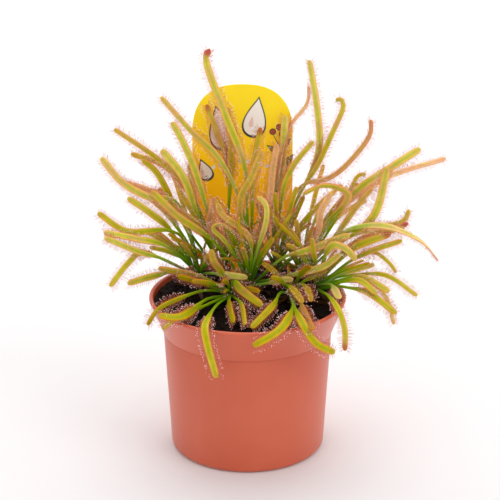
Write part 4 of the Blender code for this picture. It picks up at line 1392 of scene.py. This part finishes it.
            lengths.append(self.draw.uniform(*span, count) * fade)
            curls.append(-back)
        return tuple(np.concatenate(parts) for parts in (feet, ways, lengths, curls))

    def tentacle_shape(self) -> Shape:
        """Model one tentacle: a three-sided stalk, 1 long, that swells to a gland.

        Returns:
            The shape. Past a height of 1 its heights are millimetres, as its widths are.
        """
        deselect_all()
        neck = 0.7 * self.stalk_radius
        bpy.ops.mesh.primitive_cone_add(vertices=3, radius1=self.stalk_radius, radius2=neck, depth=1.0,
                                        location=(0.0, 0.0, 0.5))
        made = bpy.context.object
        settle(made)
        with editing(made, faced=False):
            bpy.ops.mesh.select_mode(type="FACE")
            bpy.ops.mesh.select_all(action="DESELECT")
            shape = bmesh.from_edit_mesh(made.data)
            for face in shape.faces:
                face.select = face.normal.z > 0.9
            bmesh.update_edit_mesh(made.data)
            swell = self.gland_radius / neck
            extrude(self.gland_radius)
            bpy.ops.transform.resize(value=(swell, swell, 1.0))
            extrude(self.gland_radius)
            bpy.ops.mesh.merge(type="CENTER")
        return taken(made)

    def dress(self, flesh: bpy.types.Material, mucilage: bpy.types.Material) -> tuple[bpy.types.Object, ...]:
        """Grow the tentacles on every blade and hang the dew on them.

        Args:
            flesh: the tentacles' material.
            mucilage: the dew's material.

        Returns:
            The tentacles and the dew.
        """
        pin = self.tentacle_shape()
        up = np.minimum(pin.points[:, 2], 1.0)
        beyond = np.maximum(pin.points[:, 2] - 1.0, 0.0)
        drop = model_once(lambda: bpy.ops.mesh.primitive_uv_sphere_add(segments=5, ring_count=3, radius=1.0))
        tentacles = Heap("tentacles_" + self.name)
        dew = Heap("dew_" + self.name)
        grown = [(form, 1.0 if form.leaf.painted_lightness == 1.0 else self.inner_spread) for form in self.forms]
        grown += [(form, self.young_spread) for form in self.young]
        for form, spread in grown:
            feet, ways, lengths, curls = self.tentacles(form, spread)
            count = len(feet)
            first = square_to(curls + ways * 0.01 + 0.02, ways)
            second = np.cross(ways, first)
            curl = self.draw.uniform(0.0, 0.3, count)
            run = lengths[:, None] * up + beyond
            bend = (curl * lengths)[:, None] * up ** 2
            spine = feet[:, None] + ways[:, None] * run[..., None] + curls[:, None] * bend[..., None]
            bars = spine + first[:, None] * pin.points[:, 0:1] + second[:, None] * pin.points[:, 1:2]
            tentacles.add(bars, pin.faces, reach=(0.8 * up + 0.2 * (beyond > 0.0))[None],
                          tone=self.draw.uniform(0.8, 1.2, count)[:, None])
            wet = self.draw.random(count) < self.dew_share
            tips = feet + ways * (lengths + self.gland_radius)[:, None] + curls * (curl * lengths)[:, None]
            size = self.draw.uniform(*self.dew_radius, count)[wet]
            dew.add(tips[wet][:, None] + drop.points[None] * size[:, None, None], drop.faces)
        return tentacles.build(flesh), dew.build(mucilage)


@dataclass
class NurseryPot:
    """The moulded pot: thin wall, rolled lip, flared band, tapered body, and drain holes in its base."""
    turns: int = 128
    drain_holes: int = 8
    drain_ring: float = 33.0
    drain_radius: float = 4.5

    @staticmethod
    def outer_radius(height: float) -> float:
        """Give the pot's outer radius at a height.

        Args:
            height: the height over the pot's underside.

        Returns:
            The radius there.
        """
        if height > BAND_BOTTOM_Z:
            share = (height - BAND_BOTTOM_Z) / (POT_HEIGHT - BAND_BOTTOM_Z)
            return BAND_BOTTOM_RADIUS + share * (RIM_RADIUS - BAND_BOTTOM_RADIUS)
        low = FOOT_RADIUS + FOOT_FLARE
        return low + (BAND_BOTTOM_RADIUS - BAND_STEP - low) * height / BAND_BOTTOM_Z

    @classmethod
    def inside(cls, height: float, gap: float = 0.0) -> tuple[float, float]:
        """Give the profile's point in the pot's inside at a height, or a gap away from the wall."""
        return cls.outer_radius(height) - WALL - gap, height

    @staticmethod
    def corner(centre: tuple[float, float], radius: float, start: float, end: float,
               steps: int) -> list[tuple[float, float]]:
        """Give the points of a round corner in a profile.

        Args:
            centre: the corner's centre, as radius and height.
            radius: the corner's own radius.
            start: the first angle in degrees.
            end: the last angle in degrees.
            steps: how many steps.

        Returns:
            The points.
        """
        corner = [polar(radius, math.radians(start + (end - start) * i / steps)) for i in range(steps + 1)]
        return [(centre[0] + x, centre[1] + y) for x, y in corner]

    def profile(self) -> list[tuple[float, float]]:
        """Give the wall's closed profile from the axis inside to the axis under the base.

        Returns:
            The profile's points, as radius and height.
        """
        lip = LIP_WIDTH / 2
        low = BAND_BOTTOM_Z
        inside = [(0.0, WALL), (FOOT_RADIUS - WALL, WALL), self.inside(FLOOR_CORNER_Z),
                  (self.outer_radius(low) - BAND_STEP - WALL, low - 1.5), self.inside(low + 1.0),
                  self.inside(POT_HEIGHT - LIP_DEPTH)]
        # The outside drops from the band's edge into a shallow groove, and comes out of it to the body
        rolled = self.corner((RIM_RADIUS - lip, POT_HEIGHT - lip), lip, 180, -20, 12)
        outside = [(self.outer_radius(POT_HEIGHT - LIP_DEPTH), POT_HEIGHT - LIP_DEPTH),
                   (BAND_BOTTOM_RADIUS + 0.1, low + 0.4), (BAND_BOTTOM_RADIUS, low + 0.1),
                   (BAND_BOTTOM_RADIUS - 0.2, low - 0.1),
                   (self.outer_radius(low) - 0.8, low - 0.3), (self.outer_radius(low) - 0.75, low - 0.9),
                   (self.outer_radius(low - 2.2), low - 2.2)]
        foot = self.corner((FOOT_RADIUS + FOOT_FLARE - FOOT_ROUND, FOOT_ROUND), FOOT_ROUND, 0, -90, 8)
        return inside + rolled + outside + foot + [(0.0, 0.0)]

    def build(self, material: bpy.types.Material) -> bpy.types.Object:
        """Spin the profile, cut the drain holes and shade the pot.

        Args:
            material: the pot's material.

        Returns:
            The pot.
        """
        mesh = bpy.data.meshes.new("nursery_pot")
        points = self.profile()
        edges = [(i, i + 1) for i in range(len(points) - 1)]
        mesh.from_pydata([(r * MM, 0.0, z * MM) for r, z in points], edges, [])
        made = placed("nursery_pot", mesh)
        with editing(made):
            bpy.ops.mesh.spin(steps=self.turns, angle=2 * math.pi, center=(0, 0, 0), axis=(0, 0, 1))
            bpy.ops.mesh.select_all(action="SELECT")
            bpy.ops.mesh.remove_doubles(threshold=MERGE)
        cutters = []
        for i in range(self.drain_holes):
            x, y = polar(self.drain_ring * MM, 2 * math.pi * (i + 0.5) / self.drain_holes)
            deselect_all()
            bpy.ops.mesh.primitive_cylinder_add(vertices=32, radius=self.drain_radius * MM,
                                                depth=8 * WALL * MM, location=(x, y, 0))
            cutters.append(bpy.context.object)
            made.modifiers.new("drain", "BOOLEAN").object = cutters[-1]
        apply_modifiers(made)
        for cutter in cutters:
            bpy.data.objects.remove(cutter, do_unlink=True)
        activate(made)
        bpy.ops.object.shade_smooth_by_angle(angle=math.radians(32))
        made.data.materials.append(material)
        return made


@dataclass
class PeatBed:
    """The peat: a fill with an uneven top, loose crumbs and fibres on it."""
    rings: int = 70
    turns: int = 170
    crumbs: int = 1900
    fibres: int = 260
    seed: int = 5
    slack: float = 0.3           # between the peat and the pot
    margin: float = 1.6          # between the crumbs and the pot
    crumb_size: tuple[float, float] = (0.35, 1.5)
    crumb_wobble: float = 0.28
    fibre_radius: float = 0.13
    fibre_length: tuple[float, float] = (0.8, 2.6)
    fibre_bow: float = 0.12

    @staticmethod
    def top(x: float, y: float) -> float:
        """Give the height of the peat's top at a place.

        Args:
            x: how far to the right of the pot's axis the place is.
            y: how far behind the axis it is.

        Returns:
            The height over the pot's underside.
        """
        reach = math.hypot(x, y) / RIM_RADIUS
        broad = noise.noise(Vector((x, y, 0.0)) * 0.07)
        lumps = noise.fractal(Vector((x, y, 3.0)) * 0.3, 0.9, 2.1, 4)
        heaped = 1.7 * max(0.0, (reach - 0.62) / 0.32) ** 1.5
        return SOIL_TOP + SOIL_DISH * (reach ** 2 - 0.5) + heaped + 0.8 * broad + 0.9 * lumps

    def fill(self, material: bpy.types.Material) -> bpy.types.Object:
        """Shape the peat's body: a disc of rings for the top, and the pot's inside below.

        Args:
            material: the peat's material.

        Returns:
            The body.
        """
        wall, _ = NurseryPot.inside(SOIL_TOP, self.slack / 2)
        sides = [(wall * (i + 1) / self.rings, None) for i in range(self.rings)]
        inset = WALL + self.slack
        sides += [NurseryPot.inside(BAND_BOTTOM_Z + 1.0, self.slack),
                  (NurseryPot.outer_radius(BAND_BOTTOM_Z) - BAND_STEP - inset, BAND_BOTTOM_Z - 1.6),
                  NurseryPot.inside(FLOOR_CORNER_Z, self.slack), (FOOT_RADIUS - inset - self.slack, inset)]
        points = [(0.0, 0.0, self.top(0.0, 0.0))]
        for radius, height in sides:
            for i in range(self.turns):
                x, y = polar(radius, 2 * math.pi * i / self.turns)
                points.append((x, y, self.top(x, y) if height is None else height))
        points.append((0.0, 0.0, inset))
        faces = []
        for i in range(self.turns):
            j = (i + 1) % self.turns
            faces.append((0, 1 + i, 1 + j))
            for ring in range(len(sides) - 1):
                low = 1 + ring * self.turns
                faces.append((low + i, low + self.turns + i, low + self.turns + j, low + j))
            low = 1 + (len(sides) - 1) * self.turns
            faces.append((low + i, len(points) - 1, low + j))
        heap = Heap("peat")
        heap.add(np.array(points)[None], faces)
        return heap.build(material)

    def litter(self, material: bpy.types.Material) -> bpy.types.Object:
        """Scatter crumbs and short fibres over the top.

        Args:
            material: the peat's material.

        Returns:
            The crumbs and fibres as one piece.
        """
        draw = np.random.default_rng(self.seed)
        lump = model_once(lambda: bpy.ops.mesh.primitive_ico_sphere_add(subdivisions=1, radius=1.0))
        straw = model_once(lambda: bpy.ops.mesh.primitive_cone_add(
            vertices=3, radius1=1.0, radius2=0.4, depth=2.0), cuts=(0.0,))
        heap = Heap("peat_crumbs")
        limit, _ = NurseryPot.inside(SOIL_TOP, self.margin)
        reach = limit * np.sqrt(draw.random(self.crumbs))
        turn = 2 * math.pi * draw.random(self.crumbs)
        least, most = self.crumb_size
        size = least + (most - least) * draw.random(self.crumbs) ** 3
        for r, a, s in zip(reach, turn, size):
            x, y = polar(r, a)
            wobble = 1.0 + draw.uniform(-self.crumb_wobble, self.crumb_wobble, (len(lump.points), 1))
            squash = draw.uniform(0.6, 1.2, 3)
            points = lump.points * wobble * squash * s + (x, y, self.top(x, y) + 0.25 * s)
            heap.add(points[None], lump.faces)
        for _ in range(self.fibres):
            x, y = polar(limit * math.sqrt(draw.random()), 2 * math.pi * draw.random())
            spin = Euler((draw.uniform(1.1, 1.9), 0.0, draw.uniform(0.0, 6.28))).to_matrix()
            length = draw.uniform(*self.fibre_length)
            rows = straw.points * (self.fibre_radius, self.fibre_radius, length)
            rows[:, 0] += self.fibre_bow * length * (1 - straw.points[:, 2] ** 2)
            points = rows @ np.array(spin).T + (x, y, self.top(x, y) + 0.35)
            heap.add(points[None], straw.faces)
        return heap.build(material, smooth=False)


@dataclass
class PlantLabel:
    """The arch-topped plastic label on its stake, with a generic print of dewdrops and a berried sprig."""
    arch_steps: int = 40
    ink_lift: float = 0.06
    outline: float = 1.0
    ripple: float = 0.45         # the width of the ripples in the drops
    twig: tuple[tuple[float, float], ...] = ((27.5, 160.0), (26.0, 170.0), (22.8, 178.0), (19.0, 185.5))
    twig_width: float = 0.8
    berry: float = 1.6
    bevel: float = 0.18
    motif_y: float = LABEL_Y - LABEL_THICKNESS / 2

    def card_outline(self) -> list[tuple[float, float]]:
        """Give the card's outline as (x, z) points.

        Returns:
            The outline's points.
        """
        half = LABEL_WIDTH / 2
        stake = STAKE_WIDTH / 2
        base = LABEL_TOP - LABEL_ARCH
        points = []
        for i in range(self.arch_steps + 1):
            turn = math.pi * i / self.arch_steps
            across = math.copysign(abs(math.cos(turn)) ** 0.8, math.cos(turn))
            points.append((half * across, base + LABEL_ARCH * math.sin(turn) ** 0.8))
        points += [(-half, LABEL_SHOULDER_Z), (-stake, LABEL_NECK_Z), (-stake, STAKE_BOTTOM + STAKE_POINT),
                   (0.0, STAKE_BOTTOM), (stake, STAKE_BOTTOM + STAKE_POINT), (stake, LABEL_NECK_Z),
                   (half, LABEL_SHOULDER_Z)]
        return points

    def plate(self, name: str, outline: Sequence[tuple[float, float]], thickness: float, y: float,
              material: bpy.types.Material) -> bpy.types.Object:
        """Cut a flat plate that stands across the pot.

        Args:
            name: the plate's name.
            outline: its outline as (x, z) points from the label's middle line.
            thickness: its thickness.
            y: where its middle plane stands.
            material: its material.

        Returns:
            The plate.
        """
        curve = bpy.data.curves.new(name, "CURVE")
        curve.dimensions = "2D"
        curve.fill_mode = "BOTH"
        curve.extrude = thickness / 2 * MM
        row = curve.splines.new("POLY")
        row.points.add(len(outline) - 1)
        for point, (x, z) in zip(row.points, outline):
            point.co = (x * MM, z * MM, 0.0, 1.0)
        row.use_cyclic_u = True
        made = placed(name, curve)
        made.rotation_euler = (math.pi / 2, 0.0, 0.0)
        made.location = (LABEL_X * MM, y * MM, 0.0)
        activate(made)
        bpy.ops.object.convert(target="MESH")
        made = bpy.context.object
        settle(made)
        with editing(made):
            bpy.ops.mesh.remove_doubles(threshold=FINE_MERGE)
        made.data.materials.append(material)
        return made

    def card(self, front: bpy.types.Material, back: bpy.types.Material) -> bpy.types.Object:
        """Cut the card, round its edges, and leave its back unprinted.

        Args:
            front: the printed material.
            back: the plain material.

        Returns:
            The card.
        """
        made = self.plate("label_card", self.card_outline(), LABEL_THICKNESS, LABEL_Y, front)
        bevel = made.modifiers.new("cut_edge", "BEVEL")
        bevel.width = self.bevel * MM
        bevel.segments = 2
        bevel.limit_method = "ANGLE"
        apply_modifiers(made)
        made.data.materials.append(back)
        for face in made.data.polygons:
            if face.normal.y > -0.7:
                face.material_index = 1
        return made

    @staticmethod
    def drop_outline(centre: tuple[float, float], width: float, height: float, lean: float,
                     steps: int = 36) -> list[tuple[float, float]]:
        """Give a drop's outline, pointed at the top and round below.

        Args:
            centre: its middle as (x, z).
            width: its width.
            height: its height.
            lean: its lean in degrees, clockwise.
            steps: how many points.

        Returns:
            The points.
        """
        slope = math.radians(lean)
        points = []
        for i in range(steps):
            turn = 2 * math.pi * (i + 0.5) / steps
            x = 0.65 * width * math.sin(turn) * math.sin(turn / 2) ** 1.4
            z = 0.5 * height * math.cos(turn)
            points.append((centre[0] + x * math.cos(slope) + z * math.sin(slope),
                           centre[1] - x * math.sin(slope) + z * math.cos(slope)))
        return points

    @staticmethod
    def dot_outline(centre: tuple[float, float], radius: float, steps: int = 18) -> list[tuple[float, float]]:
        """Give a round dot's outline as (x, z) points."""
        dot = [polar(radius, 2 * math.pi * i / steps) for i in range(steps)]
        return [(centre[0] + x, centre[1] + z) for x, z in dot]

    @staticmethod
    def line_outline(points: Sequence[tuple[float, float]], width: float) -> list[tuple[float, float]]:
        """Give the outline of a drawn line, thinner at its ends.

        Args:
            points: the line's points as (x, z).
            width: its width in the middle.

        Returns:
            The outline.
        """
        rows = spline([(x, z, 0.0) for x, z in points], 14)
        ahead = np.gradient(rows, axis=0)
        aside = np.stack([-ahead[:, 1], ahead[:, 0]], axis=1) / np.linalg.norm(ahead, axis=1)[:, None]
        half = width / 2 * (0.35 + 0.65 * np.sin(np.linspace(0.0, math.pi, len(rows))))[:, None]
        sides = np.concatenate([rows[:, :2] + aside * half, (rows[:, :2] - aside * half)[::-1]])
        return [tuple(side) for side in sides]

    def motifs(self) -> list[tuple[Ink, int, list[tuple[float, float]]]]:
        """Give the print's shapes: outlined drops with glints and ripples, a berried sprig and a row of dots.

        Returns:
            Each shape's ink, its layer over the card, and its outline.
        """
        shapes: list[tuple[Ink, int, list[tuple[float, float]]]] = []
        for (x, z), width, height, lean in (((-13.0, 190.0), 17.0, 27.0, -14.0),
                                            ((8.0, 197.0), 14.0, 24.0, 10.0),
                                            ((-23.5, 163.0), 8.0, 12.5, -20.0)):
            glint = (x - 0.18 * width, z - 0.12 * height)
            shapes += [(Ink.DARK, 1, self.drop_outline((x, z), width + 2 * self.outline,
                                                       height + 3 * self.outline, lean)),
                       (Ink.CREAM, 2, self.drop_outline((x, z), width, height, lean)),
                       (Ink.BLUSH, 3, self.drop_outline(glint, 0.22 * width, 0.3 * height, lean))]
            for reach in (0.28, 0.4):
                row = [(x + reach * width * math.sin(a), z - 0.1 * height - reach * height * math.cos(a))
                       for a in (-0.1, 0.35, 0.8)]
                shapes.append((Ink.DARK, 3, self.line_outline(row, self.ripple)))
        shapes.append((Ink.DARK, 1, self.line_outline(self.twig, self.twig_width)))
        for centre, width, height, lean in (((28.6, 169.5), 3.4, 8.4, 40.0), ((21.6, 168.8), 3.4, 8.4, -48.0),
                                            ((26.8, 180.0), 3.4, 8.4, 42.0),
                                            ((18.4, 176.6), 3.2, 7.6, -56.0)):
            shapes += [(Ink.DARK, 2, self.drop_outline(centre, width + self.outline,
                                                       height + 1.4 * self.outline, lean)),
                       (Ink.SPRIG, 3, self.drop_outline(centre, width, height, lean))]
        for centre in ((18.6, 187.6), (22.6, 190.4), (24.4, 186.0)):
            shapes += [(Ink.DARK, 2, self.dot_outline(centre, self.berry + self.outline / 2)),
                       (Ink.BERRY, 3, self.dot_outline(centre, self.berry))]
        for i in range(9):
            across = -18.0 + 4.2 * i
            shapes.append((Ink.CREAM, 1, self.dot_outline((across, 168.5 - 0.012 * across ** 2), 1.3)))
        return shapes

    def print_motifs(self, inks: Mapping[Ink, bpy.types.Material]) -> list[bpy.types.Object]:
        """Lay down the print, each ink as one piece of thin plates.

        Args:
            inks: the ink materials.

        Returns:
            The print, one piece for each ink.
        """
        pieces = []
        motifs = self.motifs()
        for ink in Ink:
            plates = [self.plate("print_" + ink.name.lower(), outline, self.ink_lift,
                                 self.motif_y - self.ink_lift * (layer - 0.5), inks[ink])
                      for kind, layer, outline in motifs if kind is ink]
            activate(plates[0])
            for plate in plates:
                plate.select_set(True)
            if len(plates) > 1:
                bpy.ops.object.join()
            pieces.append(plates[0])
        return pieces


@dataclass(frozen=True)
class Lamp:
    """A soft white light: where it hangs, its side and what it looks at in metres, its power in watts."""
    name: str
    place: tuple[float, float, float]
    size: float
    power: float
    target: tuple[float, float, float] = (0.0, 0.0, 0.11)

    def hang(self) -> None:
        """Hang the light."""
        data = bpy.data.lights.new(self.name, "AREA")
        data.shape = "SQUARE"
        data.size = self.size
        data.energy = self.power
        made = placed(self.name, data)
        made.location = self.place
        aim = Vector(self.target) - Vector(self.place)
        made.rotation_euler = aim.to_track_quat("-Z", "Y").to_euler()


@dataclass
class Studio:
    """The seamless paper, the soft lights and the camera."""
    lamps: tuple[Lamp, ...] = (
        Lamp("key", (1.25, -1.0, 1.2), 1.0, 8.0), Lamp("fill", (-1.1, -1.2, 0.8), 1.2, 3.4),
        Lamp("over", (0.0, 0.4, 1.5), 1.4, 9.5), Lamp("wash", (0.0, 1.0, 1.1), 1.2, 5.0, (0.0, 1.4, 0.1)))
    air: str = "#FFFDFC"
    air_strength: float = 0.65
    half_width: float = 2.2      # metres
    front: float = -1.6
    back: float = 1.5
    wall: float = 2.4
    sweep: float = 0.6

    @staticmethod
    def select_back_edge(sheet: bpy.types.Object) -> None:
        """Select, in edit mode, the edge at the back of the sheet's floor and nothing else.

        Args:
            sheet: the paper.
        """
        bpy.ops.mesh.select_all(action="DESELECT")
        shape = bmesh.from_edit_mesh(sheet.data)
        for edge in shape.edges:
            edge.select = all(vertex.co.y > 0 and abs(vertex.co.z) < MERGE for vertex in edge.verts)
        bmesh.update_edit_mesh(sheet.data)

    def paper(self, material: bpy.types.Material) -> bpy.types.Object:
        """Lay the paper: a plane whose back edge is drawn up into a wall through a round sweep.

        Args:
            material: the paper's material.

        Returns:
            The paper.
        """
        deselect_all()
        bpy.ops.mesh.primitive_plane_add(size=2.0)
        made = bpy.context.object
        made.name = "paper"
        made.scale = (self.half_width, (self.back - self.front) / 2, 1.0)
        made.location = (0.0, (self.back + self.front) / 2, 0.0)
        settle(made)
        with editing(made, faced=False):
            bpy.ops.mesh.select_mode(type="EDGE")
            self.select_back_edge(made)
            extrude(self.wall)
            self.select_back_edge(made)
            bpy.ops.mesh.bevel(offset=self.sweep, segments=16, affect="EDGES")
        bpy.ops.object.shade_smooth_by_angle(angle=math.radians(40))
        made.data.materials.append(material)
        return made

    def set_up(self, material: bpy.types.Material) -> None:
        """Lay the paper, hang the lights and stand the camera.

        Args:
            material: the paper's material.
        """
        self.paper(material)
        world = bpy.data.worlds.new("studio_air")
        world.use_nodes = True
        plug(world.node_tree.nodes["Background"], {"Color": self.air, "Strength": self.air_strength})
        bpy.context.scene.world = world
        bpy.context.scene.view_settings.view_transform = "Standard"
        for lamp in self.lamps:
            lamp.hang()
        eye = bpy.data.cameras.new("camera")
        eye.sensor_width = SENSOR
        eye.lens = FOCAL_PIXELS / IMAGE_SIZE * SENSOR
        eye.clip_end = 20.0
        made = placed("camera", eye)
        made.location = Vector(CAMERA_PLACE) * MM
        made.rotation_euler = (math.radians(90.0 - CAMERA_PITCH), 0.0, 0.0)
        bpy.context.scene.camera = made


def main() -> None:
    """Build every sub-assembly, hand it to the frame, and set up the studio."""
    logging.basicConfig(level=logging.INFO, format="%(message)s")
    tissue = LeafTissue().build()
    flesh = TentacleFlesh().build()
    mucilage = Mucilage().build()
    peat = MoistPeat().build()
    for number, (name, leaves) in enumerate(LeafField(PLANS).grow().items()):
        plan = PLANS[name]
        forms = [LeafForm(leaf, path) for leaf, path in leaves]
        plant = Sundew(name, plan.crown, forms, PLANT_SEED + number, plan.tone)
        report(plant.shape_leaves(tissue), "leaf", "sundew_" + name)
        for piece in plant.dress(flesh, mucilage):
            report(piece, "leaf")
    report(NurseryPot().build(TerracottaPolypropylene().build()), "pot_plastic", "pot")
    bed = PeatBed()
    report(bed.fill(peat), "peat", "soil")
    report(bed.litter(peat), "peat")
    label = PlantLabel()
    report(label.card(PrintedCard().build(), PlainSheet().build()), "label_card", "label")
    for piece in label.print_motifs({ink: PrintInk(ink).build() for ink in Ink}):
        report(piece, "label_card")
    Studio().set_up(StudioPaper().build())


if __name__ == "__main__":
    main()
